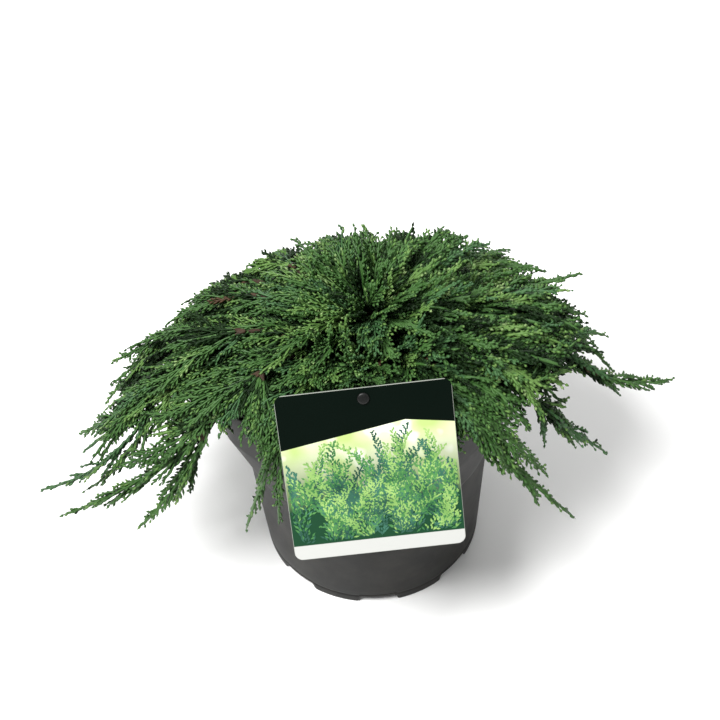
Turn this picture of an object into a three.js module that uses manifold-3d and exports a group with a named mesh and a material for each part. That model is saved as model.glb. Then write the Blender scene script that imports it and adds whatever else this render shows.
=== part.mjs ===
// Potted creeping juniper: a low evergreen shrub in a round-footed plastic pot with an
// eight-sided collar, and a plain picture card on a stake.
// Millimetres, +Z up. The origin is the middle of the pot's underside, and -Y is the front.
import * as THREE from 'three';
import { mergeVertices } from 'three/addons/utils/BufferGeometryUtils.js';
import Module from 'manifold-3d';

const wasm = await Module();
wasm.setup();

// Driving sizes of the pot
const pot = {
  height: 205,
  footRadius: 90.6,
  ringHeight: 123,
  ringRadius: 96.6,
  ringStep: 1.6,
  ringTopRise: 1.2,
  flareTop: 167,
  facetReach: 106,
  facets: 8,
  cornerSharpness: 30,
  wall: 1.8,
  underside: 60,
  channelStart: 67,
  channelHeight: 6.5,
  channelHalfTurn: 9,
  floorThickness: 2.5,
  undersideThickness: 2,
  segments: 64,
};

// Driving sizes of the soil, the stem and the gap that touching pieces keep
const gap = 0.3;
const soil = {
  top: 188,
  crown: 190,
  crownRadius: 30,
  edgeDrop: 3,
  edgeWidth: 9,
  flareGap: 1.4,
  segments: 24,
};
const stem = {
  height: 42,
  flareRadius: 19,
  radius: 11,
  topRadius: 9,
  flareHeight: 4,
  ridge: 0.16,
  lean: 6,
  sides: 10,
  rings: [0, 1.5, 3, 5, 7.5, 10, 15, 22, 30],
  bevel: 1.5,
  topShare: 0.8,
};

// Driving sizes of the card, its stake and its peg
const card = {
  width: 120,
  height: 122,
  thickness: 1.2,
  corner: 6,
  lean: 30,
  spin: 2.6,
  middle: [1, -109.5, 200.6],
  holeRadius: 3.2,
  holeBelowTop: 7.6,
};
const stake = {
  width: 9,
  thickness: 2.4,
  foot: 120,
  headRadius: 4.2,
  headThickness: 1.6,
  headSink: 0.8,
  pegRadius: 2.6,
  pegSink: 0.5,
  sides: 16,
};

// Limbs and foliage of one tier grow by one rule. Angles are degrees round the pot, counted
// from +X towards the back. Each tier names how its boughs end and how far its shoots reach.
const crown = {
  skirt: {
    count: 11,
    from: -27,
    to: 210,
    rootHeight: 10,
    rootRadius: 2.8,
    tipRadius: 1.7,
    bend: { reach: 104, height: 219, backDrop: 6 },
    shoots: 4,
    backShoots: 3,
    fan: 18,
    lift: 44,
    middle: 0.12,
    sink: 4,
    pad: { from: 0.1, to: 0.78, width: 33, height: 4 },
  },
  shoulder: {
    count: 9,
    from: -21.5,
    to: 211.5,
    rootHeight: 22,
    rootRadius: 2.6,
    tipRadius: 1.6,
    bend: { reach: 42, height: 231, backDrop: 6 },
    shoots: 3,
    backShoots: 3,
    fan: 22,
    lift: 14,
    middle: 0.36,
    sink: -4,
    pad: { from: 0.02, to: 0.9, width: 42, height: 5 },
  },
  front: {
    count: 3,
    from: 236,
    to: 304,
    rootHeight: 28,
    rootRadius: 2.4,
    tipRadius: 1.5,
    bend: { reach: 26, height: 226, backDrop: 0 },
    shoots: 3,
    backShoots: 3,
    fan: 30,
    lift: 12,
    middle: 0.42,
    sink: 0,
    pad: { from: 0.02, to: 0.9, width: 32, height: 5 },
  },
  top: {
    count: 4,
    from: -12,
    to: 192,
    rootHeight: 36,
    shoots: 3,
    backShoots: 3,
    fan: 54,
    lift: 12,
    middle: 0.55,
    sink: -4,
    pad: { from: 0.14, to: 0.92, width: 41, height: 5 },
  },
  crest: {
    shoots: 5,
    backShoots: 5,
    fan: 288,
    lift: 8,
    middle: 0.5,
    sink: -16,
    reach: 34,
    height: 289,
    pad: { from: 0.15, to: 0.9, width: 26, height: 7 },
  },
};
// Round the front the skirt is short, so that the pot and the card show
const skirtSize = {
  reach: 215,
  left: { extra: 43, towards: 190, frontStart: 0.24, frontSpan: 0.33, frontCut: 110 },
  right: { extra: 2, towards: 0, frontStart: 0.05, frontSpan: 0.6, frontCut: 80 },
  extraPower: 8,
  liftLoss: 0.5,
};
// One shoot at the right stands out far beyond the others
const longShoot = { mass: 'foliage_skirt_2', index: 3, angle: 4, reach: 238, height: 124 };
const skirtTips = { height: 122, backDrop: 46, rightRise: 10 };
const skirtBough = { share: 0.57, least: 124, slope: 0.5, backSlope: 0.25 };
const shoulderSize = { reach: 140, sideReach: 22, height: 219, backDrop: 37, frontDrop: 24, rightRise: 7 };
const shoulderBough = { reach: 74, height: 236, backDrop: 9 };
const frontSize = { reach: 80, flankReach: 98, height: 254, flankHeight: 228 };
const frontBough = { reach: 42, height: 233 };
const topSize = { reach: 76, height: 260, backDrop: 4, rightRise: 8, climb: 1.1 };

// Boughs leave the stem in two rows, level at first, and sway a little on their way
const bough = {
  sides: 4,
  steps: 5,
  rootStep: 5,
  levelReach: 9,
  levelRise: 1.5,
  midShare: 0.45,
  midClimb: 0.72,
  sway: 1.2,
};

// A shoot is a thin leader with flat sprays to its left and right in turn: a toothed blade
const shoot = {
  stemSides: 4,
  stemLength: 8,
  rootRadius: 1.7,
  tipRadius: 0.8,
  ridge: 1.3,
  sprayGap: 18.6,
  sprayAngle: 38,
  sprayDip: 0.6,
  sprayLength: 38,
  tipLength: 12,
  cutTip: 0.15,
  padStations: 5,
  padNotch: 0.7,
  padBase: 0.2,
  padPoint: 0.95,
  padLean: 0.4,
  padDroop: 0.45,
  padLeast: 3,
  padDraw: 0.88,
  padPasses: 10,
  cutSteps: 24,
  freeSteps: 3,
  leastShare: 0.3,
  bareStart: 0.22,
  straightShare: 0.34,
  bendPull: 0.2,
  roll: 0.9,
};
// How much single shoots and sprays differ from their rule: an angle in degrees, or a share
const vary = { angle: 4, backFlat: 0.8, lift: 0.3, reach: 0.1, sprayAngle: 12, spray: 0.15 };
const stalkRadius = shoot.rootRadius + 0.4;
const leaderMargin = shoot.rootRadius * shoot.ridge;
const spaceMargin = 0.3;
const limbMargin = 1.2;
const potMargin = 2.6;
const colours = {
  plastic: '#6f6b66',
  soil: '#2b211a',
  bark: '#6b4a35',
  foliage: '#3f7a45',
  card: '#e9ecdf',
  peg: '#1c1d1c',
};

const degrees = Math.PI / 180;

// A point at a distance and an angle round the pot's axis, at a height
function around(reach, angle, height) {
  return new THREE.Vector3(reach * Math.cos(angle * degrees), reach * Math.sin(angle * degrees), height);
}

// Repeatable random numbers from 0 to 1, the same for the same seed
function makeRandom(seed) {
  let state = seed >>> 0;
  return () => {
    state = (Math.imul(state, 1664525) + 1013904223) >>> 0;
    return state / 4294967296;
  };
}

// A factor round 1, at most so far from it as the share says
function spread(share, random) {
  return 1 - share + 2 * share * random();
}

function blend(a, b, share) {
  return a + (b - a) * share;
}

function finish(colour, roughness) {
  return new THREE.MeshStandardMaterial({ color: colour, roughness, metalness: 0 });
}

function toSolid(geometry) {
  const bare = geometry.index ? geometry.clone() : geometry;
  bare.deleteAttribute('normal');
  bare.deleteAttribute('uv');
  const merged = mergeVertices(bare, 1e-4);
  return new wasm.Manifold(new wasm.Mesh({
    numProp: 3,
    vertProperties: new Float32Array(merged.attributes.position.array),
    triVerts: new Uint32Array(merged.index.array),
  }));
}

function toGeometry(solid) {
  const mesh = solid.getMesh();
  const geometry = new THREE.BufferGeometry();
  geometry.setAttribute('position', new THREE.BufferAttribute(new Float32Array(mesh.vertProperties), 3));
  geometry.setIndex(new THREE.BufferAttribute(new Uint32Array(mesh.triVerts), 1));
  return geometry;
}

// Rings of equal count joined into one closed skin, with a fan over each end
function skinRings(rings) {
  const sides = rings[0].length;
  const places = rings.flat().concat(middleOf(rings[0]), middleOf(rings[rings.length - 1]));
  const faces = [];
  const start = rings.length * sides;
  for (let i = 0; i < sides; i += 1) {
    const next = (i + 1) % sides;
    for (let ring = 0; ring < rings.length - 1; ring += 1) {
      const low = ring * sides;
      const high = low + sides;
      faces.push(low + i, low + next, high + next, low + i, high + next, high + i);
    }
    faces.push(start, next, i);
    faces.push(start + 1, start - sides + i, start - sides + next);
  }
  const geometry = new THREE.BufferGeometry();
  geometry.setFromPoints(places);
  geometry.setIndex(faces);
  return geometry;
}

function middleOf(points) {
  return points.reduce((sum, p) => sum.add(p), new THREE.Vector3()).divideScalar(points.length);
}

// A steady sideways reference for a curve: upright, or +X where the whole curve is steep
function uprightOf(curve) {
  const span = new THREE.Vector3().subVectors(curve.getPoint(1), curve.getPoint(0)).normalize();
  return Math.abs(span.z) > 0.8 ? new THREE.Vector3(1, 0, 0) : new THREE.Vector3(0, 0, 1);
}

// A limb along a curve, its radius going evenly from one end to the other
function taperedLimb(curve, startRadius, endRadius, sides, steps) {
  const across = uprightOf(curve);
  const rings = [];
  for (let step = 0; step <= steps; step += 1) {
    const t = step / steps;
    const along = curve.getTangent(t);
    const side = new THREE.Vector3().crossVectors(along, across).normalize();
    const above = new THREE.Vector3().crossVectors(side, along);
    const radius = blend(startRadius, endRadius, t);
    const ring = [];
    for (let i = 0; i < sides; i += 1) {
      const turn = (2 * Math.PI * i) / sides;
      ring.push(curve.getPoint(t)
        .addScaledVector(side, radius * Math.cos(turn))
        .addScaledVector(above, radius * Math.sin(turn)));
    }
    rings.push(ring.reverse());
  }
  return skinRings(rings);
}

// The collar's eight facets as a share of their reach: a soft least distance to all facets
function facetShare(angle) {
  let sum = 0;
  for (let facet = 0; facet < pot.facets; facet += 1) {
    const towards = Math.max(0, Math.cos(angle - (2 * Math.PI * facet) / pot.facets));
    sum += towards ** pot.cornerSharpness;
  }
  return sum ** (-1 / pot.cornerSharpness);
}

// The pot's outer radius: a straight taper, the ring, the flare, and the upright collar
function wallRadius(height, angle) {
  if (height <= pot.ringHeight) {
    return blend(pot.footRadius, pot.ringRadius, height / pot.ringHeight);
  }
  const octagon = pot.facetReach * facetShare(angle);
  const rise = Math.min(1, (height - pot.ringHeight) / (pot.flareTop - pot.ringHeight));
  return blend(pot.ringRadius + pot.ringStep, octagon, rise);
}

// A lathe turned upright with points on the collar's corners, then each point moved by a rule
// of its radius, angle and height
function shapedLathe(profile, segments, move) {
  const step = (2 * Math.PI) / segments;
  const turn = (Math.PI / pot.facets) % step;
  const geometry = new THREE.LatheGeometry(profile, segments, turn).rotateX(Math.PI / 2);
  const places = geometry.attributes.position;
  for (let i = 0; i < places.count; i += 1) {
    const reach = Math.hypot(places.getX(i), places.getY(i));
    const angle = Math.atan2(places.getY(i), places.getX(i));
    const [newReach, height] = move(reach, angle, places.getZ(i));
    places.setXYZ(i, newReach * Math.cos(angle), newReach * Math.sin(angle), height);
  }
  return geometry;
}

// Whether an angle lies in one of the drain channels, one under the middle of each facet
function inChannel(angle) {
  const pitch = (2 * Math.PI) / pot.facets;
  const offset = angle - Math.round(angle / pitch) * pitch;
  return Math.abs(offset) < pot.channelHalfTurn * degrees;
}

function makePot() {
  const floorTop = pot.channelHeight + pot.floorThickness;
  const ringTop = pot.ringHeight + pot.ringTopRise;
  const ringReach = pot.ringRadius + pot.ringStep;
  const profile = [
    [0, 0],
    [pot.underside, 0],
    [pot.channelStart, 0],
    [pot.footRadius, 0],
    [pot.ringRadius, pot.ringHeight],
    [ringReach, ringTop],
    [pot.facetReach, pot.flareTop],
    [pot.facetReach, pot.height],
    [pot.facetReach - pot.wall, pot.height],
    [pot.facetReach - pot.wall, pot.flareTop],
    [ringReach - pot.wall, ringTop],
    [pot.footRadius - pot.wall, floorTop],
    [pot.channelStart - pot.wall, floorTop],
    [pot.underside - pot.wall, pot.undersideThickness],
    [0, pot.undersideThickness],
  ].map(([reach, height]) => new THREE.Vector2(reach, height));
  const geometry = shapedLathe(profile, pot.segments, (reach, angle, height) => {
    if (height < gap && reach > pot.underside + gap) {
      return [reach, inChannel(angle) ? pot.channelHeight : 0];
    }
    if (height < pot.flareTop) {
      return [reach, height];
    }
    const octagon = pot.facetReach * facetShare(angle);
    return [octagon - (pot.facetReach - reach), height];
  });
  return toSolid(geometry);
}

// The soil fills the pot to a little below its rim, and keeps a gap to the wall
function makeSoil() {
  const floorTop = pot.channelHeight + pot.floorThickness + gap;
  const bottom = pot.undersideThickness + gap;
  const inside = pot.wall + 2 * gap;
  const ringTop = pot.ringHeight + pot.ringTopRise;
  const profile = [
    [0, bottom],
    [pot.underside - inside, bottom],
    [pot.channelStart - inside, floorTop],
    [pot.footRadius - inside, floorTop],
    [pot.ringRadius + pot.ringStep - inside, ringTop],
    [pot.facetReach - inside - soil.flareGap, pot.flareTop],
    [pot.facetReach - inside, soil.top - soil.edgeDrop],
    [pot.facetReach - soil.edgeWidth, soil.top],
    [soil.crownRadius, soil.crown],
    [0, soil.crown],
  ].map(([reach, height]) => new THREE.Vector2(reach, height));
  const geometry = shapedLathe(profile, soil.segments, (reach, angle, height) => {
    if (height < pot.flareTop || reach < pot.ringRadius) {
      return [reach, height];
    }
    return [pot.facetReach * facetShare(angle) - (pot.facetReach - reach), height];
  });
  return toSolid(geometry);
}

// The stem's mean radius at a height above the soil, flared at its foot
function stemRadius(rise) {
  const flare = Math.exp(-rise / stem.flareHeight) * (stem.flareRadius - stem.radius);
  return blend(stem.radius, stem.topRadius, rise / stem.height) + flare;
}

// Near the soil the stem swells into three root ridges
function ridgeShare(rise, turn) {
  return 1 + stem.ridge * Math.exp(-rise / stem.flareHeight) * Math.cos(3 * turn + 1);
}

function stemMiddle(rise) {
  return new THREE.Vector3(stem.lean * (rise / stem.height) ** 2, 0, soil.crown + gap + rise);
}

// How far out from the stem's middle a climbing limb's root, a flat round end square to its
// heading, has to start so that its edge keeps the gap to the stem's skin
function stemReach(rise, angle, rootRadius, climb) {
  const out = around(1, angle, 0);
  const facet = 360 / stem.sides;
  const offset = (angle / facet - Math.floor(angle / facet) - 0.5) * facet;
  const flat = Math.cos((facet / 2) * degrees) / Math.cos(offset * degrees);
  const half = rootRadius * Math.cos(Math.atan(climb));
  return gap + Math.max(...[-half, 0, half].map((shift) => {
    const level = Math.min(rise + shift, stem.height);
    const skin = stemRadius(level) * ridgeShare(level, angle * degrees) * flat;
    return stemMiddle(level).sub(stemMiddle(rise)).dot(out) + skin + shift * climb;
  }));
}

function makeStem() {
  const rises = [...stem.rings, stem.height - stem.bevel, stem.height];
  const rings = rises.map((rise) => {
    const end = rise === stem.height ? stem.topShare : 1;
    const ring = [];
    for (let i = 0; i < stem.sides; i += 1) {
      const turn = (2 * Math.PI * i) / stem.sides;
      const out = new THREE.Vector3(Math.cos(turn), Math.sin(turn), 0);
      ring.push(stemMiddle(rise).addScaledVector(out, stemRadius(rise) * end * ridgeShare(rise, turn)));
    }
    return ring;
  });
  return skinRings(rings);
}

// The card's own axes: right, up along the card, and out of its printed face
function cardAxes() {
  const spin = new THREE.Quaternion().setFromAxisAngle(new THREE.Vector3(0, -1, 0), card.spin * degrees);
  const lean = new THREE.Quaternion().setFromAxisAngle(new THREE.Vector3(1, 0, 0), -card.lean * degrees);
  const turn = lean.multiply(spin);
  return {
    right: new THREE.Vector3(1, 0, 0).applyQuaternion(turn),
    up: new THREE.Vector3(0, 0, 1).applyQuaternion(turn),
    out: new THREE.Vector3(0, -1, 0).applyQuaternion(turn),
  };
}

// A place on the card from its middle: across, up, and out of its printed face
function onCard(across, up, out) {
  const axes = cardAxes();
  return new THREE.Vector3(...card.middle)
    .addScaledVector(axes.right, across)
    .addScaledVector(axes.up, up)
    .addScaledVector(axes.out, out);
}

function cardMatrix() {
  const axes = cardAxes();
  return new THREE.Matrix4()
    .makeBasis(axes.right, axes.up, axes.out)
    .setPosition(new THREE.Vector3(...card.middle));
}

function makeCard() {
  const outline = new THREE.Shape();
  const halfWidth = card.width / 2;
  const halfHeight = card.height / 2;
  const inner = card.corner;
  outline.absarc(halfWidth - inner, halfHeight - inner, inner, 0, Math.PI / 2);
  outline.absarc(inner - halfWidth, halfHeight - inner, inner, Math.PI / 2, Math.PI);
  outline.absarc(inner - halfWidth, inner - halfHeight, inner, Math.PI, 1.5 * Math.PI);
  outline.absarc(halfWidth - inner, inner - halfHeight, inner, 1.5 * Math.PI, 2 * Math.PI);
  outline.holes.push(new THREE.Path().absarc(0, halfHeight - card.holeBelowTop, card.holeRadius, 0, 2 * Math.PI));
  const geometry = new THREE.ExtrudeGeometry(outline, {
    depth: card.thickness,
    bevelEnabled: false,
    curveSegments: 4,
  });
  geometry.translate(0, 0, -card.thickness / 2);
  return toSolid(geometry.applyMatrix4(cardMatrix()));
}

// A round peg along the card's normal, from one distance out of its face to another
function cardDisc(radius, from, to) {
  const disc = new THREE.CylinderGeometry(radius, radius, to - from, stake.sides).rotateX(Math.PI / 2);
  disc.translate(0, card.height / 2 - card.holeBelowTop, (from + to) / 2);
  return toSolid(disc.applyMatrix4(cardMatrix()));
}

// The stake stands in the soil behind the card, and its peg passes through the card's hole
function makeStake(extra) {
  const face = card.thickness / 2 + gap;
  const behind = onCard(0, card.height / 2 - card.holeBelowTop, -face - stake.headThickness);
  const blade = new THREE.BoxGeometry(stake.width + extra, stake.thickness + extra, behind.z - stake.foot);
  blade.translate(behind.x, behind.y + stake.thickness / 2, (behind.z + stake.foot) / 2 - extra);
  return toSolid(blade)
    .add(cardDisc(stake.headRadius, -face - stake.headThickness - stake.headSink, -face))
    .add(cardDisc(stake.pegRadius, -face - stake.pegSink, face + stake.pegSink))
    .add(cardDisc(stake.headRadius, face, face + stake.headThickness));
}

function sideShare(angle) {
  return Math.cos(angle * degrees) ** 2;
}

// From 1 at the right to -1 at the left
function rightShare(angle) {
  return Math.cos(angle * degrees);
}

function backShare(angle) {
  return Math.max(0, Math.sin(angle * degrees));
}

function frontShare(angle) {
  return Math.max(0, -Math.sin(angle * degrees));
}

// Where a tier's boughs end at an angle round the pot, and how far its shoots reach from there
const reachRules = {
  skirt(angle) {
    const size = Math.abs(angle - 180) < 90 ? skirtSize.left : skirtSize.right;
    const short = Math.min(1, Math.max(0, frontShare(angle) - size.frontStart) / size.frontSpan);
    const facing = Math.max(0, Math.cos((angle - size.towards) * degrees)) ** skirtSize.extraPower;
    const reach = skirtSize.reach + size.extra * facing - size.frontCut * short;
    const tipReach = Math.max(skirtBough.least, skirtBough.share * reach);
    const { bend } = crown.skirt;
    const slope = skirtBough.slope + skirtBough.backSlope * backShare(angle);
    const drop = (tipReach - bend.reach) * slope + bend.backDrop * backShare(angle);
    return {
      tip: around(tipReach, angle, bend.height - drop),
      end: {
        reach,
        height: skirtTips.height - skirtTips.backDrop * backShare(angle) + skirtTips.rightRise * rightShare(angle),
      },
    };
  },
  shoulder(angle) {
    const { height, backDrop, frontDrop, rightRise } = shoulderSize;
    return {
      tip: around(shoulderBough.reach, angle, shoulderBough.height - shoulderBough.backDrop * backShare(angle)),
      end: {
        reach: shoulderSize.reach + shoulderSize.sideReach * sideShare(angle),
        height: height - backDrop * backShare(angle) - frontDrop * frontShare(angle) + rightRise * rightShare(angle),
      },
    };
  },
  front(angle) {
    const flank = 1 - frontShare(angle) ** 4;
    return {
      tip: around(frontBough.reach, angle, frontBough.height),
      end: {
        reach: blend(frontSize.reach, frontSize.flankReach, flank),
        height: blend(frontSize.height, frontSize.flankHeight, flank),
      },
    };
  },
};

function tierAngles(tier) {
  return Array.from({ length: tier.count }, (_, i) => blend(tier.from, tier.to, i / (tier.count - 1)));
}

// A bough leaves the stem level, climbs to its bend and ends where its foliage starts
function boughCurve(tier, angle, index, tip) {
  const rise = tier.rootHeight + (index % 2) * bough.rootStep;
  const climb = bough.levelRise / bough.levelReach;
  const root = stemMiddle(rise).add(around(stemReach(rise, angle, tier.rootRadius, climb), angle, 0));
  const { reach, height, backDrop } = tier.bend;
  const levelEnd = Math.hypot(root.x, root.y) + bough.levelReach;
  return new THREE.CatmullRomCurve3([
    root,
    root.clone().add(around(bough.levelReach, angle, bough.levelRise)),
    around(blend(levelEnd, reach, bough.midShare), angle + bough.sway, blend(root.z, height, bough.midClimb)),
    around(reach, angle - bough.sway, height - backDrop * backShare(angle)),
    tip,
  ]);
}

function boughsOf(name) {
  const tier = crown[name];
  return tierAngles(tier).map((angle, index) => {
    const { tip } = reachRules[name](angle);
    const curve = boughCurve(tier, angle, index, tip);
    return {
      name: `bough_${name}_${index + 1}`,
      massName: `foliage_${name}_${index + 1}`,
      angle,
      tier,
      curve,
      tip: curve.getPoint(1),
      heading: curve.getTangent(1),
      endAt: (way) => reachRules[name](way).end,
    };
  });
}

// The masses at the top have no bough of their own: their stems meet the short stem itself
function topMasses() {
  const tier = crown.top;
  const ring = tierAngles(tier).map((angle, index) => ({
    massName: `foliage_top_${index + 1}`,
    angle,
    tier,
    tip: stemMiddle(tier.rootHeight)
      .add(around(stemReach(tier.rootHeight, angle, stalkRadius, topSize.climb) - gap / 2, angle, 0)),
    heading: around(1, angle, topSize.climb).normalize(),
    endAt: (way) => ({
      reach: topSize.reach,
      height: topSize.height - topSize.backDrop * backShare(way) + topSize.rightRise * rightShare(way),
    }),
  }));
  const crest = {
    massName: 'foliage_crest',
    angle: 90,
    tier: crown.crest,
    tip: stemMiddle(stem.height),
    heading: new THREE.Vector3(0, 0, 1),
    endAt: () => ({ reach: crown.crest.reach, height: crown.crest.height }),
  };
  return [...ring, crest];
}

// The end of a mass's own stem, where its leaders part
function forkOf(mass) {
  return mass.tip.clone().addScaledVector(mass.heading, gap + shoot.stemLength);
}

// An arch from a mass's fork, level with its stem at first, to a tip
function archTo(mass, tip) {
  const fork = forkOf(mass);
  const bend = fork.clone().addScaledVector(mass.heading, tip.distanceTo(fork) * shoot.straightShare);
  return new THREE.QuadraticBezierCurve3(fork, bend.lerp(tip, shoot.bendPull), tip);
}

// The leaders of a mass: arches from its fork to tips spread over its fan
function leadersOf(mass, seed) {
  const random = makeRandom(seed);
  const count = backShare(mass.angle) > 0.6 ? mass.tier.backShoots : mass.tier.shoots;
  return Array.from({ length: count }, (_, i) => {
    const share = (2 * i) / (count - 1) - 1;
    const angle = mass.angle + mass.tier.fan * 0.5 * share + vary.angle * (random() - 0.5);
    const lift = (i % 2) * mass.tier.lift * (1 - vary.backFlat * backShare(angle)) * spread(vary.lift, random);
    const end = mass.endAt(angle);
    const reach = end.reach * (1 - vary.reach * random()) - skirtSize.liftLoss * lift;
    if (mass.massName === longShoot.mass && i === longShoot.index) {
      return archTo(mass, around(longShoot.reach, longShoot.angle, longShoot.height));
    }
    return archTo(mass, around(reach, angle, end.height + lift));
  });
}

// A blade's own directions at a share of its leader: along it, to its left, and out of it
function bladeFrame(leader, share, roll) {
  const along = leader.getTangent(share);
  const upright = uprightOf(leader);
  const out = upright.addScaledVector(along, -along.dot(upright)).normalize().applyAxisAngle(along, roll);
  return { along, out, left: new THREE.Vector3().crossVectors(out, along) };
}

// Sprays are longest a third of the way along their leader
function spraySize(share) {
  return Math.min(1, 0.4 + 2 * share) * (1 - 0.55 * share);
}

// A toothed blade along a leader: three edges, left, ridge and right, and a spray drawn out
// of the left and the right edge in turn. A spray that is not free is left out.
function bladeGeometry(leader, random, isFree) {
  const leafyLength = leader.getLength() * (1 - shoot.bareStart);
  const count = 1 + Math.max(2, Math.round(leafyLength / shoot.sprayGap));
  const station = (i) => (i === 0 ? 0 : blend(shoot.bareStart, 1, (i - 1) / (count - 1)));
  const roll = (random() - 0.5) * shoot.roll;
  const places = [];
  const faces = [];
  for (let i = 0; i <= count; i += 1) {
    const share = station(i);
    const { out, left } = bladeFrame(leader, share, roll);
    const radius = blend(shoot.rootRadius, shoot.tipRadius, share);
    const middle = leader.getPoint(share);
    places.push(
      middle.clone().addScaledVector(left, radius),
      middle.clone().addScaledVector(out, radius * shoot.ridge),
      middle.clone().addScaledVector(left, -radius),
    );
  }
  for (let i = 0; i < count; i += 1) {
    const share = (station(i) + station(i + 1)) / 2;
    const { along, out, left } = bladeFrame(leader, share, roll);
    const hand = i % 2 ? 1 : -1;
    const angle = (shoot.sprayAngle + vary.sprayAngle * (random() - 0.5)) * degrees;
    const size = shoot.sprayLength * spraySize(share) * spread(vary.spray, random);
    const root = leader.getPoint(share);
    const heading = along.clone().multiplyScalar(Math.cos(angle))
      .addScaledVector(left, hand * Math.sin(angle))
      .addScaledVector(out, shoot.sprayDip * (random() - 0.6))
      .normalize();
    const tip = root.clone().addScaledVector(heading, size);
    const [l0, u0, r0, l1, u1, r1] = [0, 1, 2, 3, 4, 5].map((corner) => 3 * i + corner);
    if (i === 0 || !isFree(root, tip, shoot.rootRadius)) {
      faces.push(l0, u0, u1, l0, u1, l1, u0, r0, r1, u0, r1, u1, r0, l0, l1, r0, l1, r1);
      continue;
    }
    const t = places.push(tip) - 1;
    if (hand === 1) {
      faces.push(l0, u0, t, u0, u1, t, u1, l1, t, l0, t, r0, r0, t, r1, r1, t, l1);
      faces.push(u0, r0, r1, u0, r1, u1);
    } else {
      faces.push(u0, r0, t, u0, t, u1, u1, t, r1, r0, l0, t, l0, l1, t, l1, r1, t);
      faces.push(l0, u0, u1, l0, u1, l1);
    }
  }
  const last = 3 * count;
  const end = leader.getPoint(1);
  const whole = end.clone().addScaledVector(leader.getTangent(1), shoot.tipLength);
  const apex = places.push(isFree(end, whole, shoot.tipRadius) ? whole : end.lerp(whole, shoot.cutTip)) - 1;
  faces.push(0, 2, 1, last, last + 1, apex, last + 1, last + 2, apex, last + 2, last, apex);
  const geometry = new THREE.BufferGeometry().setFromPoints(places);
  geometry.setIndex(faces);
  return geometry;
}

// Whether a point lies in a mass's own space by a margin: nearer to its middle than to any other's
function inOwnSpace(point, site, sites, margin) {
  return sites.every((other) => {
    if (other === site) {
      return true;
    }
    const between = new THREE.Vector3().subVectors(other, site);
    const middle = new THREE.Vector3().addVectors(other, site).multiplyScalar(0.5);
    return between.normalize().dot(new THREE.Vector3().subVectors(point, middle)) < -margin;
  });
}

// Whether a point keeps clear of the pot, the soil and the card
function isClear(point, margin) {
  const reach = Math.hypot(point.x, point.y);
  const wall = wallRadius(point.z, Math.atan2(point.y, point.x));
  if (point.z < pot.height + margin && reach < wall + margin) {
    return reach < wall - pot.wall - margin && point.z > soil.crown + margin;
  }
  const axes = cardAxes();
  const offset = new THREE.Vector3().subVectors(point, new THREE.Vector3(...card.middle));
  const besideCard = Math.abs(offset.dot(axes.right)) < card.width / 2 + margin;
  const alongCard = Math.abs(offset.dot(axes.up)) < card.height / 2 + margin;
  const overCard = offset.dot(axes.out) > -stake.headThickness - 2 * margin;
  return !(besideCard && alongCard && overCard);
}

// Whether a straight piece of foliage keeps clear of every limb
function clearOfLimbs(from, to, radius, limbs) {
  const line = new THREE.Line3(from, to);
  const near = new THREE.Vector3();
  return limbs.every((limb) => limb.places.every((place, i) => {
    line.closestPointToPoint(place, true, near);
    return near.distanceTo(place) > blend(limb.startRadius, limb.endRadius, i / limb.places.length) + radius + limbMargin;
  }));
}

// The leader as far as it stays in its space and clear of the limbs
function cutLeader(leader, site, sites, limbs) {
  let last = 0;
  const steps = shoot.cutSteps;
  for (let i = 1; i <= steps; i += 1) {
    const from = leader.getPoint((i - 1) / steps);
    const to = leader.getPoint(i / steps);
    const free = inOwnSpace(to, site, sites, spaceMargin + leaderMargin)
      && isClear(to, potMargin + leaderMargin)
      && clearOfLimbs(from, to, leaderMargin, i < shoot.freeSteps ? [] : limbs);
    if (!free) {
      break;
    }
    last = i / steps;
  }
  if (last === 1) {
    return leader;
  }
  const first = leader.v0.clone();
  const end = leader.getPoint(last);
  const bend = first.clone().lerp(leader.v1, last);
  return last > shoot.leastShare ? new THREE.QuadraticBezierCurve3(first, bend, end) : null;
}

// The dense inside of a mass: a toothed pad along its middle leader, thin at both edges, which
// hang a little. Each edge point is drawn in until its way from the leader is free, and then
// until the edge on both sides of it is free.
function padGeometry(pad, leader, random, isFree) {
  const count = shoot.padStations;
  const stations = Array.from({ length: count + 1 }, (_, i) => {
    const share = blend(pad.from, pad.to, i / count);
    const { along, out, left } = bladeFrame(leader, share, 0);
    const swell = Math.sin(Math.PI * blend(shoot.padBase, shoot.padPoint, i / count));
    const width = pad.width * swell * (i % 2 ? 1 : shoot.padNotch);
    const middle = leader.getPoint(share);
    const arms = [1, -1].map((hand) => {
      const arm = left.clone().multiplyScalar(hand * width * spread(vary.spray, random))
        .addScaledVector(along, width * shoot.padLean)
        .addScaledVector(out, -width * shoot.padDroop);
      while (arm.length() > shoot.padLeast && !isFree(middle, middle.clone().add(arm), pad.height / 2)) {
        arm.multiplyScalar(shoot.padDraw);
      }
      return arm;
    });
    return { middle, out, arms, height: pad.height * swell };
  });
  const place = (i, hand) => stations[i].middle.clone().add(stations[i].arms[hand]);
  const isSpan = (i, hand) => isFree(place(i, hand), place(i + 1, hand), shoot.rootRadius)
    && isFree(place(i + 1, hand), place(i, hand), shoot.rootRadius);
  for (let pass = 0; pass < shoot.padPasses; pass += 1) {
    for (let i = 0; i < count; i += 1) {
      [0, 1].filter((hand) => !isSpan(i, hand)).forEach((hand) => {
        stations[i].arms[hand].multiplyScalar(shoot.padDraw);
        stations[i + 1].arms[hand].multiplyScalar(shoot.padDraw);
      });
    }
  }
  return skinRings(stations.map(({ middle, out, height }, i) => [
    place(i, 0),
    middle.clone().addScaledVector(out, height),
    place(i, 1),
    middle.clone().addScaledVector(out, -height),
  ]));
}

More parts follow.
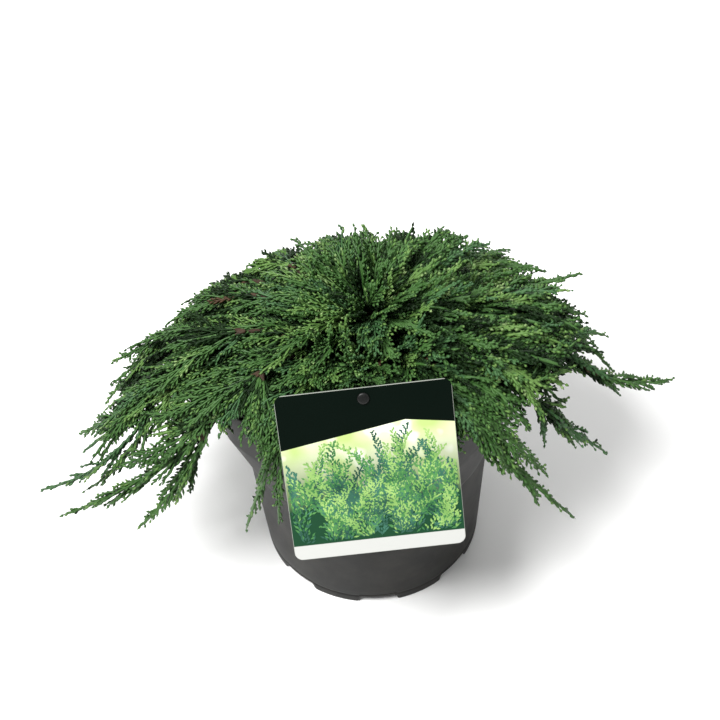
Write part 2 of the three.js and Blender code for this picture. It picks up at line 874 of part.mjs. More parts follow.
// One mass: its stem, its leaders with their sprays, and a pad on the middle leader if dense
function makeMass(mass, seed, site, sites, limbs) {
  const random = makeRandom(seed + 7);
  const start = mass.tip.clone().addScaledVector(mass.heading, gap);
  const stemEnd = forkOf(mass).addScaledVector(mass.heading, shoot.rootRadius);
  const stalk = new THREE.LineCurve3(start, stemEnd);
  const isFree = (root, tip, radius) => [0.17, 0.33, 0.5, 0.67, 0.83, 1].every((share) => {
    const place = root.clone().lerp(tip, share);
    const margin = blend(radius, 0, share);
    return inOwnSpace(place, site, sites, spaceMargin + margin) && isClear(place, potMargin + margin);
  }) && clearOfLimbs(root, tip, radius, limbs);
  const leaders = leadersOf(mass, seed).map((leader) => cutLeader(leader, site, sites, limbs));
  const middleLeader = leaders[Math.floor((leaders.length - 1) / 2)];
  let solid = toSolid(taperedLimb(stalk, stalkRadius, shoot.rootRadius, shoot.stemSides, 1));
  leaders.filter((leader) => leader).forEach((leader) => {
    solid = solid.add(toSolid(bladeGeometry(leader, random, isFree)));
  });
  if (mass.tier.pad && middleLeader) {
    solid = solid.add(toSolid(padGeometry(mass.tier.pad, middleLeader, random, isFree)));
  }
  return largestPiece(solid);
}

// The one outer piece of a fused solid: loose scraps are dropped and sealed hollows filled
function largestPiece(solid) {
  const pieces = solid.decompose();
  return pieces.reduce((best, piece) => (piece.volume() > best.volume() ? piece : best));
}

const plant = new THREE.Group();

function addPiece(name, geometry, material) {
  const mesh = new THREE.Mesh(geometry, material);
  mesh.name = name;
  plant.add(mesh);
}

const plastic = finish(colours.plastic, 0.55);
const bark = finish(colours.bark, 0.85);
const green = finish(colours.foliage, 0.7);

addPiece('pot', toGeometry(makePot()), plastic);
addPiece('soil', toGeometry(makeSoil().subtract(makeStake(2 * gap))), finish(colours.soil, 0.95));
addPiece('stem', makeStem(), bark);
addPiece('label_card', toGeometry(makeCard()), finish(colours.card, 0.4));
addPiece('label_stake', toGeometry(makeStake(0)), finish(colours.peg, 0.5));

const boughs = ['skirt', 'shoulder', 'front'].flatMap(boughsOf);
boughs.forEach(({ name, curve, tier }) => {
  addPiece(name, taperedLimb(curve, tier.rootRadius, tier.tipRadius, bough.sides, bough.steps), bark);
});

const limbs = boughs.map(({ curve, tier }) => ({
  places: curve.getPoints(30),
  startRadius: tier.rootRadius,
  endRadius: tier.tipRadius,
}));
const masses = [...boughs, ...topMasses()];
const sites = masses.map((mass) => {
  const end = mass.endAt(mass.angle);
  const tip = around(end.reach, mass.angle, end.height);
  return archTo(mass, tip).getPoint(mass.tier.middle).sub(new THREE.Vector3(0, 0, mass.tier.sink));
});
masses.forEach((mass, index) => {
  const solid = makeMass(mass, 100 + index, sites[index], sites, limbs);
  addPiece(mass.massName, toGeometry(solid), green);
});

export default plant;
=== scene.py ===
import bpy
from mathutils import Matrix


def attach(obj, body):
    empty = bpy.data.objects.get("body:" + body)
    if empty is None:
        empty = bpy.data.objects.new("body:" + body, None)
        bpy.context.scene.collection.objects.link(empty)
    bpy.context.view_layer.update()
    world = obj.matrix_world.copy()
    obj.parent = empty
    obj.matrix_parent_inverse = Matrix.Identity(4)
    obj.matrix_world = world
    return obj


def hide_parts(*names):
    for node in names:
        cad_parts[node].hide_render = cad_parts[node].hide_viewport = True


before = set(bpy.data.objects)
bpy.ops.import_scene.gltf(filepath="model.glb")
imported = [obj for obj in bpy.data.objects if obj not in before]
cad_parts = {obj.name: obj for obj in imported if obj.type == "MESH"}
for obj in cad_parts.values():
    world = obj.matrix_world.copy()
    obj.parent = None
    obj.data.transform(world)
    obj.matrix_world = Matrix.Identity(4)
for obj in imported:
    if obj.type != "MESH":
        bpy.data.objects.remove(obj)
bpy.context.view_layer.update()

import math
import bpy
import numpy as np
from mathutils import Matrix, Vector

# Potted creeping juniper. Sizes and places are in millimetres and become metres when a mesh is
# filled; the floor, lamps and camera at the end are in metres. Angles round the crown are in
# degrees, from its right by its back to its left.
mm = 0.001
degrees = math.pi / 180


# Meshes from arrays

# Fills a mesh from an array of points in millimetres and arrays of faces, each of one corner
# count, and gives it its materials; slotOfFace names each face's material by its number
def addMesh(name, points, faceSets, materials, slotOfFace=None, smooth=True):
    mesh = bpy.data.meshes.new(name)
    sizes = np.concatenate([np.full(len(f), f.shape[1]) for f in faceSets])
    corners = np.concatenate([f.ravel() for f in faceSets]).astype(np.int32)
    mesh.vertices.add(len(points))
    mesh.vertices.foreach_set("co", (np.asarray(points) * mm).astype(np.float32).ravel())
    mesh.loops.add(len(corners))
    mesh.loops.foreach_set("vertex_index", corners)
    mesh.polygons.add(len(sizes))
    starts = np.concatenate([[0], np.cumsum(sizes)[:-1]]).astype(np.int32)
    mesh.polygons.foreach_set("loop_start", starts)
    mesh.polygons.foreach_set("use_smooth", np.full(len(sizes), smooth))
    for material in materials:
        mesh.materials.append(material)
    if slotOfFace is not None:
        mesh.polygons.foreach_set("material_index", slotOfFace.astype(np.int32))
    mesh.update(calc_edges=True)
    mesh.validate()
    obj = bpy.data.objects.new(name, mesh)
    bpy.context.scene.collection.objects.link(obj)
    return obj


# Quads of a grid of rows x columns points; the columns close on themselves, and the rows do
# too where the skin is a ring in both ways
def gridQuads(rows, columns, closedRows=False):
    row = np.arange(rows if closedRows else rows - 1)[:, None]
    column = np.arange(columns)[None, :]
    nextRow = (row + 1) % rows
    nextColumn = (column + 1) % columns
    a = row * columns + column
    b = row * columns + nextColumn
    c = nextRow * columns + nextColumn
    d = nextRow * columns + column
    return np.stack([a, b, c, d], -1).reshape(-1, 4)


# A fan of triangles over a ring of points round one middle point
def capFan(ringStart, count, middle, flip):
    i = np.arange(count)
    j = (i + 1) % count
    ring = [ringStart + j, ringStart + i] if flip else [ringStart + i, ringStart + j]
    return np.stack([*ring, np.full(count, middle)], -1)


# Faces of a skin of rows x columns points that a fan closes at each end: the two poles are the
# points after the grid's
def closedSkin(rows, columns):
    fans = [
        capFan(0, columns, rows * columns, True),
        capFan((rows - 1) * columns, columns, rows * columns + 1, False),
    ]
    return [gridQuads(rows, columns), np.concatenate(fans)]


# A closed skin round an upright axis: points[row, column] from the bottom's middle round the
# outside, with a pole at each end
def closedLathe(points, firstPole, lastPole):
    places = np.concatenate([points.reshape(-1, 3), [firstPole, lastPole]])
    return places, closedSkin(*points.shape[:2])


# Faces of many like solids, each one's corners numbered on from those of the one before
def repeatFaces(faces, count, corners):
    offsets = (np.arange(count) * corners)[:, None, None]
    return (faces[None] + offsets).reshape(-1, faces.shape[1])


# Joins meshes of quads and triangles, or of one kind of face, into one
def joinSets(parts):
    places, sets, offset = [], [[], []], 0
    for points, faces in parts:
        places.append(points)
        for kind, some in enumerate(faces):
            sets[kind].append(some + offset)
        offset += len(points)
    return np.concatenate(places), [np.concatenate(kind) for kind in sets]


# Even turns round a ring, in radians
def ringTurns(count):
    return np.arange(count) * 2 * math.pi / count


# A share of the way from a to b: a + (b - a) share
def blend(a, b, share):
    return a + (b - a) * share


# 0 under the low value, 1 over the high one, and an S between them: 3t^2 - 2t^3
def smoothStep(low, high, value):
    t = np.clip((value - low) / (high - low), 0, 1)
    return t * t * (3 - 2 * t)


# Vectors divided by their length
def unit(v):
    return v / np.maximum(np.linalg.norm(v, axis=-1, keepdims=True), 1e-9)


# Points at a reach and an angle round the pot, at a height
def around(reach, angle, height):
    reach, angle, height = np.broadcast_arrays(reach, np.asarray(angle) * degrees, height)
    return np.stack([reach * np.cos(angle), reach * np.sin(angle), height], -1)


# Materials

# A colour from its screen values of 0 to 255, made linear
def rgb(red, green, blue):
    channel = [c / 255 for c in (red, green, blue)]
    return tuple(((c + 0.055) / 1.055) ** 2.4 if c > 0.04 else c / 12.92 for c in channel) + (1.0,)


# Gives a socket a plain value, or links it where the value is another node's socket
def feed(tree, socket, value):
    if isinstance(value, bpy.types.NodeSocket):
        tree.links.new(value, socket)
    else:
        socket.default_value = value


# Adds a node and feeds its first inputs in their order; named values feed the input of that
# name, or set the node itself where it has no such input
def addNode(tree, kind, *first, **named):
    node = tree.nodes.new(kind)
    for socket, value in zip(node.inputs, first):
        feed(tree, socket, value)
    for key, value in named.items():
        if key in node.inputs:
            feed(tree, node.inputs[key], value)
        else:
            setattr(node, key, value)
    return node


# What a Math node makes of two or three values
def calculate(tree, operation, *values):
    return addNode(tree, "ShaderNodeMath", *values, operation=operation).outputs["Value"]


# A value's share of the way from low to high, kept within 0 and 1, spread from first to last
def mapRange(tree, value, low=0.0, high=1.0, first=0.0, last=1.0):
    return addNode(tree, "ShaderNodeMapRange", value, low, high, first, last).outputs["Result"]


# The first colour where the mask is 0, the second where it is 1
def mixColours(tree, mask, first, second):
    node = addNode(tree, "ShaderNodeMix", mask, data_type="RGBA")
    feed(tree, node.inputs[6], first)
    feed(tree, node.inputs[7], second)
    return node.outputs[2]


# Places on the object, which textures follow
def objectPlace(tree):
    return addNode(tree, "ShaderNodeTexCoord").outputs["Object"]


# A new node group, with the sockets that it is given and those that it puts out
def newGroup(name, inputs, outputs):
    group = bpy.data.node_groups.new(name, "ShaderNodeTree")
    for label, kind, value in inputs:
        socket = group.interface.new_socket(name=label, in_out="INPUT", socket_type=kind)
        socket.default_value = value
    for label, kind in outputs:
        group.interface.new_socket(name=label, in_out="OUTPUT", socket_type=kind)
    given, out = group.nodes.new("NodeGroupInput"), group.nodes.new("NodeGroupOutput")
    return group, given.outputs, out.inputs


colourSocket, valueSocket, vectorSocket = "NodeSocketColor", "NodeSocketFloat", "NodeSocketVector"


# Two colours mixed by soft noise over the object
def makeMottle():
    group, given, out = newGroup("mottle", [
        ("Scale", valueSocket, 20.0), ("Detail", valueSocket, 4.0),
        ("First", colourSocket, (1, 1, 1, 1)), ("Second", colourSocket, (0, 0, 0, 1)),
        ("Low", valueSocket, 0.35), ("High", valueSocket, 0.65),
    ], [("Color", colourSocket), ("Mask", valueSocket)])
    noise = addNode(group, "ShaderNodeTexNoise", Vector=objectPlace(group), Scale=given["Scale"],
                    Detail=given["Detail"], Roughness=0.6)
    mask = mapRange(group, noise.outputs["Fac"], given["Low"], given["High"])
    feed(group, out["Color"], mixColours(group, mask, given["First"], given["Second"]))
    feed(group, out["Mask"], mask)
    return group


# Dust lies on what faces up, in patches
def makeDust():
    group, given, out = newGroup("dust", [
        ("Color", colourSocket, (1, 1, 1, 1)), ("Dust", colourSocket, (0.5, 0.48, 0.44, 1)),
        ("Amount", valueSocket, 0.3), ("Scale", valueSocket, 30.0),
    ], [("Color", colourSocket)])
    place = addNode(group, "ShaderNodeTexCoord")
    noise = addNode(group, "ShaderNodeTexNoise", Vector=place.outputs["Object"],
                    Scale=given["Scale"], Detail=5.0, Roughness=0.65)
    patches = mapRange(group, noise.outputs["Fac"], low=0.42, high=0.7)
    split = addNode(group, "ShaderNodeSeparateXYZ", place.outputs["Normal"])
    upward = mapRange(group, split.outputs["Z"], low=-0.2, first=0.25)
    amount = calculate(group, "MULTIPLY", calculate(group, "MULTIPLY", patches, upward), given["Amount"])
    feed(group, out["Color"], mixColours(group, amount, given["Color"], given["Dust"]))
    return group


# Fine relief from stretched noise, as a normal
def makeGrain():
    group, given, out = newGroup("grain", [
        ("Scale", valueSocket, 900.0), ("Stretch", vectorSocket, (1, 1, 1)),
        ("Height", valueSocket, 0.0002), ("Strength", valueSocket, 0.3),
    ], [("Normal", vectorSocket)])
    stretched = addNode(group, "ShaderNodeVectorMath", objectPlace(group), given["Stretch"],
                        operation="MULTIPLY")
    noise = addNode(group, "ShaderNodeTexNoise", Vector=stretched.outputs[0], Scale=given["Scale"],
                    Detail=3.0, Roughness=0.55)
    bump = addNode(group, "ShaderNodeBump", Height=noise.outputs["Fac"], Distance=given["Height"],
                   Strength=given["Strength"])
    feed(group, out["Normal"], bump.outputs["Normal"])
    return group


mottleGroup = makeMottle()
dustGroup = makeDust()
grainGroup = makeGrain()


# Places a group in a material with its own values, and hands back what it puts out
def placeGroup(tree, group, **values):
    node = tree.nodes.new("ShaderNodeGroup")
    node.node_tree = group
    for key, value in values.items():
        feed(tree, node.inputs[key], value)
    return node.outputs


# A material, its node tree and the inputs of its shader
def newMaterial(name):
    material = bpy.data.materials.new(name)
    material.use_nodes = True
    tree = material.node_tree
    return material, tree, tree.nodes["Principled BSDF"].inputs


# A finish: mottled colour, then dust if any, grain relief, and roughness that follows the mottle
def makeFinish(name, first, second, roughness, mottle, grain, dust=None, specular=0.5):
    material, tree, shader = newMaterial(name)
    spots = placeGroup(tree, mottleGroup, First=first, Second=second, **mottle)
    colour = spots["Color"]
    if dust:
        colour = placeGroup(tree, dustGroup, Color=colour, **dust)["Color"]
    gloss = mapRange(tree, spots["Mask"], first=roughness[0], last=roughness[1])
    feed(tree, shader["Roughness"], gloss)
    feed(tree, shader["Base Color"], colour)
    feed(tree, shader["Normal"], placeGroup(tree, grainGroup, **grain)["Normal"])
    feed(tree, shader["Specular IOR Level"], specular)
    return material


# Pot

# the rows are where the pot's profile has points between its named places: reaches under the
# foot, turns round the foot's edge, heights up the wall, and offsets at the ring's step
pot = {
    "height": 205, "footRadius": 90.6, "ringHeight": 123, "ringRadius": 96.6, "ringStep": 1.6,
    "ringTopRise": 1.2, "flareTop": 167, "facetReach": 106, "facets": 8, "cornerSharpness": 30,
    "wall": 1.8, "underside": 60, "channelStart": 67, "channelHeight": 6.5,
    "channelHalfTurn": 10, "channelEdge": (1.2, 0.8), "channelFade": 12, "channelBand": 2.4,
    "floorThickness": 2.5, "undersideThickness": 2, "lipTurn": 0.2,
    "grooveHeight": 9, "grooveDepth": 0.45, "grooveWidth": 1.1, "edgeRound": 0.8, "segments": 384,
    "footRows": (20, 40, 60, 63, 67, 76, 84), "edgeTurns": (0, 0.5, 1.0, 1.57),
    "lowRows": (2.5, 5, 7), "grooveRows": (7.6, 10.4, 9), "taperRows": (12, 18, 30, 50, 75, 100, 118, 122),
    "stepFoot": ((0, -0.2), (0.9, 0.3)), "stepTop": ((-0.25, -0.35), (0, 0)), "flareRows": 12,
    "collarRows": (168.5, 172, 180, 192, 200, 203.6), "lipRows": 7,
    "innerCollar": (203, 190), "innerFlare": (0.66, 0.33, 0), "innerTaper": (100, 50), "innerFloor": 20,
}


# The collar's eight facets as a share of their reach: a soft least distance to all facets
def facetShare(angle):
    facet = np.arange(pot["facets"]) * (2 * math.pi / pot["facets"])
    towards = np.maximum(0, np.cos(np.asarray(angle)[..., None] - facet))
    return np.sum(towards ** pot["cornerSharpness"], -1) ** (-1 / pot["cornerSharpness"])


# The pot's outer radius: a straight taper, the ring, the flare, and the upright collar
def wallRadius(height, angle):
    taper = blend(pot["footRadius"], pot["ringRadius"], height / pot["ringHeight"])
    rise = np.clip((height - pot["ringHeight"]) / (pot["flareTop"] - pot["ringHeight"]), 0, 1)
    collar = blend(pot["ringRadius"] + pot["ringStep"], pot["facetReach"] * facetShare(angle), rise)
    return np.where(height <= pot["ringHeight"], taper, collar)


# 1 in a drain channel, one under the middle of each facet, and 0 beside it
def channelMask(angle):
    pitch = 2 * math.pi / pot["facets"]
    offset = np.abs(angle - np.round(angle / pitch) * pitch) / degrees
    inner, outer = pot["channelEdge"]
    return 1 - smoothStep(pot["channelHalfTurn"] - inner, pot["channelHalfTurn"] + outer, offset)


# Turns rows of (reach, height, collar share) into points: the collar share moves a row from
# round to eight-sided, and rows near the ground rise into the drain channels
def turnProfile(profile, segments):
    reach, height, collar = [column[:, None] for column in np.array(profile, float).T]
    angle = ringTurns(segments)[None, :]
    octagon = pot["facetReach"] * (facetShare(angle) - 1) * collar
    nearGround = np.clip(1 - height / pot["channelFade"], 0, 1)
    low = nearGround * smoothStep(pot["underside"], pot["channelStart"], reach)
    outer = reach > pot["footRadius"] - pot["channelBand"]
    lift = np.where(outer | (height < 1), low, 0) * channelMask(angle) * pot["channelHeight"]
    reach = reach + octagon
    return np.stack([reach * np.cos(angle), reach * np.sin(angle), height + lift], -1)


# The pot as one profile turned round: under the foot, up the outside, over the lip and down the
# inside to the floor
def buildPot(material):
    edge, lip, wall = pot["edgeRound"], pot["wall"] / 2, pot["wall"]
    foot, ring, collar = pot["footRadius"], pot["ringRadius"], pot["facetReach"]
    ringReach = ring + pot["ringStep"]
    ringHeight, ringTop = pot["ringHeight"], pot["ringHeight"] + pot["ringTopRise"]
    floorTop = pot["channelHeight"] + pot["floorThickness"]
    undersideTop = pot["undersideThickness"]
    rows = [(reach, 0, 0) for reach in pot["footRows"]]
    rows += [(foot - edge * (1 - math.sin(t)), edge * (1 - math.cos(t)), 0) for t in pot["edgeTurns"]]
    # the taper, with its groove as a bell curve round the groove's height
    for height in [*pot["lowRows"], *np.linspace(*pot["grooveRows"]), *pot["taperRows"]]:
        dip = math.exp(-(((height - pot["grooveHeight"]) / pot["grooveWidth"]) ** 2))
        rows.append((blend(foot, ring, height / ringHeight) - pot["grooveDepth"] * dip, height, 0))
    rows += [(ring + out, ringHeight + up, 0) for out, up in pot["stepFoot"]]
    rows += [(ringReach + out, ringTop + up, 0) for out, up in pot["stepTop"]]
    rows += [(blend(ringReach, collar, s), blend(ringTop, pot["flareTop"], s), s)
             for s in np.linspace(0, 1, pot["flareRows"])[1:]]
    rows += [(collar, height, 1) for height in pot["collarRows"]]
    rows += [(collar - lip * (1 - math.cos(t)), pot["height"] - lip + lip * math.sin(t), 1)
             for t in np.linspace(pot["lipTurn"], math.pi - pot["lipTurn"], pot["lipRows"])]
    # and down the inside to the floor
    rows += [(collar - wall, height, 1) for height in (*pot["innerCollar"], pot["flareTop"])]
    rows += [(blend(ringReach, collar, s) - wall, blend(ringTop, pot["flareTop"], s), s)
             for s in pot["innerFlare"]]
    rows += [(blend(foot, ring, h / ringHeight) - wall, h, 0) for h in (*pot["innerTaper"], floorTop)]
    rows += [(pot["channelStart"] - wall, floorTop, 0), (pot["underside"] - wall, undersideTop, 0)]
    rows += [(pot["innerFloor"], undersideTop, 0)]
    points = turnProfile(rows, pot["segments"])
    places, faces = closedLathe(points, (0, 0, 0), (0, 0, undersideTop))
    return addMesh("pot_shell", places, faces, [material])


potPlastic = makeFinish(
    "potPlastic", rgb(18, 18, 17), rgb(26, 26, 24), (0.42, 0.58),
    {"Scale": 9.0, "Detail": 5.0, "Low": 0.35, "High": 0.7},
    {"Scale": 1300.0, "Height": 0.00012, "Strength": 0.25},
    {"Dust": rgb(150, 142, 130), "Amount": 0.12, "Scale": 26.0}, specular=0.17)
potShell = buildPot(potPlastic)
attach(potShell, "root")
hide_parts("pot")
print("pot built")


# Soil

soil = {
    "top": 188, "crown": 190, "crownRadius": 30, "edgeDrop": 3, "edgeWidth": 9, "gap": 0.3,
    "columns": 192, "rings": 44, "floorRow": 30, "wallShares": (0.33, 0.66, 1),
    "bumps": 0.44, "waves": 14, "wavesPerMm": (0.07, 0.9), "waveFall": 3, "sink": 0.8,
    "crumbs": 1400, "crumbSize": (0.7, 2.4), "crumbSpread": (0.02, 0.86), "crumbSink": 0.6,
    "crumbSquash": 0.8, "crumbUneven": (0.6, 1.2),
}
soilRandom = np.random.default_rng(11)


# Height of the soil's skin at a reach: level within the crown, then falling to the wall
def soilHeight(reach):
    edge = pot["facetReach"] - soil["edgeWidth"]
    inner = np.interp(reach, [soil["crownRadius"], edge], [soil["crown"], soil["top"]])
    return inner - soil["edgeDrop"] * smoothStep(edge, pot["facetReach"], reach)


# Rolling bumps as a sum of plane waves in random directions, the short ones lower
def soilBumps(x, y):
    count = soil["waves"]
    angles = soilRandom.uniform(0, 2 * math.pi, count)
    waves = np.linspace(*soil["wavesPerMm"], count)
    phases = soilRandom.uniform(0, 2 * math.pi, count)
    total = sum(np.sin((x * math.cos(a) + y * math.sin(a)) * w + p) / (1 + soil["waveFall"] * w)
                for a, w, p in zip(angles, waves, phases))
    return total * soil["bumps"]


# The soil as one profile turned round: up inside the wall, then inwards over the bumpy top
def buildSoil(material):
    gap, inside = soil["gap"], pot["wall"] + 2 * soil["gap"]
    floorTop = pot["channelHeight"] + pot["floorThickness"] + gap
    bottom = pot["undersideThickness"] + gap
    ringTop, ringReach = pot["ringHeight"] + pot["ringTopRise"], pot["ringRadius"] + pot["ringStep"]
    rows = [(soil["floorRow"], bottom, 0), (pot["underside"] - inside, bottom, 0)]
    rows += [(pot["channelStart"] - inside, floorTop, 0), (pot["footRadius"] - inside, floorTop, 0)]
    rows += [(ringReach - inside, ringTop, 0)]
    rows += [(blend(ringReach, pot["facetReach"], s) - inside, blend(ringTop, pot["flareTop"], s), s)
             for s in soil["wallShares"]]
    reach = np.linspace(pot["facetReach"] - inside, 2, soil["rings"])
    rows += [(value, soilHeight(value), value / pot["facetReach"]) for value in reach]
    points = turnProfile(rows, soil["columns"])
    top = points[-soil["rings"]:]
    offWall = reach[:, None] < reach[0] - 1
    top[..., 2] += (soilBumps(top[..., 0], top[..., 1]) - soil["sink"]) * offWall
    places, faces = closedLathe(points, (0, 0, bottom), points[-1].mean(0))
    return addMesh("soil_bed", places, faces, [material])


# Crumbs: squashed six-pointed lumps pressed into the soil, each of eight faces
def buildCrumbs(material):
    count, squash = soil["crumbs"], soil["crumbSquash"]
    reach = pot["facetReach"] * np.sqrt(soilRandom.uniform(*soil["crumbSpread"], count))
    angle = soilRandom.uniform(0, 360, count)
    size = soilRandom.uniform(*soil["crumbSize"], count)
    middle = around(reach, angle, soilHeight(reach) - soil["crumbSink"])
    corners = np.array([[1, 0, 0], [-1, 0, 0], [0, 1, 0], [0, -1, 0], [0, 0, squash], [0, 0, -squash]])
    turn = soilRandom.uniform(0, 2 * math.pi, count)
    c, s = np.cos(turn)[:, None], np.sin(turn)[:, None]
    x = corners[None, :, 0] * c - corners[None, :, 1] * s
    y = corners[None, :, 0] * s + corners[None, :, 1] * c
    shape = np.stack([x, y, np.broadcast_to(corners[:, 2], x.shape)], -1)
    shape = shape * soilRandom.uniform(*soil["crumbUneven"], (count, 6, 1)) * size[:, None, None]
    upper, lower = [[0, 2, 4], [2, 1, 4], [1, 3, 4], [3, 0, 4]], [[2, 0, 5], [1, 2, 5], [3, 1, 5], [0, 3, 5]]
    faces = repeatFaces(np.array(upper + lower), count, len(corners))
    places = (middle[:, None] + shape).reshape(-1, 3)
    return addMesh("soil_crumbs", places, [faces], [material], smooth=False)


soilEarth = makeFinish(
    "soilEarth", rgb(34, 25, 18), rgb(62, 46, 33), (0.85, 1.0),
    {"Scale": 160.0, "Detail": 8.0, "Low": 0.4, "High": 0.62},
    {"Scale": 700.0, "Height": 0.0008, "Strength": 0.8}, specular=0.2)
crumbEarth = makeFinish(
    "crumbEarth", rgb(52, 38, 27), rgb(92, 72, 52), (0.85, 1.0),
    {"Scale": 120.0, "Detail": 4.0, "Low": 0.3, "High": 0.7},
    {"Scale": 900.0, "Height": 0.0005, "Strength": 0.6}, specular=0.2)
soilBed = buildSoil(soilEarth)
soilCrumbs = buildCrumbs(crumbEarth)
for piece in (soilBed, soilCrumbs):
    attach(piece, "root")
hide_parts("soil")
print("soil built")


# Growth rule: the stem, its boughs, and the leaders of each mass of foliage

stem = {
    "height": 42, "flareRadius": 19, "radius": 11, "topRadius": 9, "flareHeight": 4, "ridge": 0.16,
    "ridges": 3, "lean": 6, "rows": 60, "sides": 72, "fibres": 0.035, "topRound": 2.5,
    "topTaper": 0.25, "topRise": 0.6,
}
# the crown's tiers: how many boughs each has and between which angles, how thick they are, where
# they bend (reach, height, drop at the back), where their masses start and where these end
crown = {
    "skirt": {"count": 11, "from": -27, "to": 210, "rootHeight": 10, "rootRadius": 2.8,
              "tipRadius": 1.7, "bend": (104, 219, 6), "leastTip": 124, "tipShare": 0.57,
              "tipSlope": (0.5, 0.75), "shoots": 4, "backShoots": 3, "fan": 18, "lift": 44,
              "reach": 215, "height": 122, "backDrop": 46, "frontDrop": 0, "rightRise": 10},
    "shoulder": {"count": 9, "from": -21.5, "to": 211.5, "rootHeight": 22, "rootRadius": 2.6,
                 "tipRadius": 1.6, "bend": (42, 231, 6), "tip": (74, 236, 9), "shoots": 3,
                 "backShoots": 3, "fan": 22, "lift": 14, "reach": 140, "sideReach": 22,
                 "height": 219, "backDrop": 37, "frontDrop": 24, "rightRise": 7},
    "front": {"count": 3, "from": 236, "to": 304, "rootHeight": 28, "rootRadius": 2.4,
              "tipRadius": 1.5, "bend": (26, 226, 0), "tip": (42, 233, 0), "shoots": 3,
              "backShoots": 3, "fan": 30, "lift": 12, "reach": (80, 98), "height": (254, 228)},
    "top": {"count": 4, "from": -12, "to": 192, "rootHeight": 36, "shoots": 3, "backShoots": 3,
            "fan": 54, "lift": 12, "climb": 1.1,
            "reach": 76, "height": 260, "backDrop": 4, "frontDrop": 0, "rightRise": 8},
    "crest": {"shoots": 5, "backShoots": 5, "fan": 288, "lift": 8, "reach": 34, "height": 289},
}
# the skirt reaches further towards one angle on its left and on its right, and is cut short
# towards the front from some share on: each pair is for the left and the right
skirtSides = {
    "extra": (43, 2), "towards": (190, 0), "start": (0.24, 0.05), "span": (0.33, 0.6), "cut": (110, 80),
    "focus": (8, 8),
}
# the crown's outer skin, where it isn't level with its tiers' ends
dome = {
    "top": 294, "foreReach": 58, "foreHeight": 270, "forePast": 30, "foreDrop": 55, "leastSpan": 20,
    "front": (0.5, 0.8), "hollow": 9, "hollowStart": (115, 140), "hollowEnd": (178, 200),
    "hollowReach": (60, 110),
}
bough = {
    "rootStep": 5, "levelReach": 9, "levelRise": 1.5, "midShare": 0.45, "midClimb": 0.72,
    "sway": 1.2, "rows": 44, "sides": 14, "fibres": 0.09, "rootSink": 0.6, "rootSwell": 1.1,
}
shoot = {
    "stalkLength": 8, "rootRadius": 1.7, "gap": 0.3, "straightShare": 0.34, "bendPull": 0.2,
    "angle": 4, "backFlat": 0.8, "lift": 0.3, "reach": 0.1, "liftLoss": 0.5, "backFrom": 0.6,
    "firstSeed": 100,
}


# How much an angle faces the back, the front or the right, as a share
def backShare(angle):
    return np.maximum(0, np.sin(np.asarray(angle) * degrees))


def frontShare(angle):
    return np.maximum(0, -np.sin(np.asarray(angle) * degrees))


def rightShare(angle):
    return np.cos(np.asarray(angle) * degrees)


# A tier's height round the pot: lower at the back and in front, higher at the right
def tierHeight(tier, angle):
    height = tier["height"] - tier["backDrop"] * backShare(angle) - tier["frontDrop"] * frontShare(angle)
    return height + tier["rightRise"] * rightShare(angle)


# Reach and height of the skirt's ends: a base reach, more towards each side's own angle, less
# towards the front
def skirtEnd(angle):
    left = np.abs(angle - 180.0) < 90
    extra, towards, start, span, cut, focus = [np.where(left, *pair) for pair in skirtSides.values()]
    short = np.clip((frontShare(angle) - start) / span, 0, 1)
    facing = np.maximum(0, np.cos((angle - towards) * degrees)) ** focus
    reach = crown["skirt"]["reach"] + extra * facing - cut * short
    return reach, tierHeight(crown["skirt"], angle)


# The shoulder's ends lie further out at both sides: reach plus a share of cos^2
def shoulderEnd(angle):
    tier = crown["shoulder"]
    return tier["reach"] + tier["sideReach"] * rightShare(angle) ** 2, tierHeight(tier, angle)


# The front masses go from their middle's reach and height to those of their flanks
def frontEnd(angle):
    flank = 1 - frontShare(angle) ** 4
    return blend(*crown["front"]["reach"], flank), blend(*crown["front"]["height"], flank)


# The top masses and the crest end at one reach all round
def topEnd(angle):
    return crown["top"]["reach"] + 0 * angle, tierHeight(crown["top"], angle)


def crestEnd(angle):
    return crown["crest"]["reach"] + 0 * angle, crown["crest"]["height"] + 0 * angle


endOf = {"skirt": skirtEnd, "shoulder": shoulderEnd, "front": frontEnd, "top": topEnd, "crest": crestEnd}


# The crown's outer skin: straight between the ends of its tiers from the top outwards. In front,
# where there is no skirt, it falls from the front masses' ends; behind on the left it is hollow.
def domeHeight(reach, angle):
    front = smoothStep(*dome["front"], frontShare(angle))
    skirt, shoulder, top, fore = [endOf[tier](angle) for tier in ("skirt", "shoulder", "top", "front")]
    outer = blend(shoulder[0], fore[0], front)
    edge = np.maximum(blend(skirt[0], fore[0] + dome["forePast"], front), outer + dome["leastSpan"])
    inner = blend(crown["top"]["reach"], dome["foreReach"], front)
    reaches = [0, crown["crest"]["reach"], inner, outer, edge]
    heights = [
        dome["top"], crown["crest"]["height"], blend(top[1], dome["foreHeight"], front),
        blend(shoulder[1], fore[1], front), blend(skirt[1], fore[1] - dome["foreDrop"], front),
    ]
    height = heights[0]
    for i in range(len(reaches) - 1):
        share = np.clip((reach - reaches[i]) / (reaches[i + 1] - reaches[i]), 0, 1)
        height = height + share * (heights[i + 1] - heights[i])
    turn = smoothStep(*dome["hollowStart"], angle) * (1 - smoothStep(*dome["hollowEnd"], angle))
    return height - dome["hollow"] * (turn * smoothStep(*dome["hollowReach"], reach))


# The stem's radius at a rise over the soil: a straight taper and a root flare that fades upwards
def stemRadius(rise):
    flare = np.exp(-rise / stem["flareHeight"]) * (stem["flareRadius"] - stem["radius"])
    return blend(stem["radius"], stem["topRadius"], rise / stem["height"]) + flare


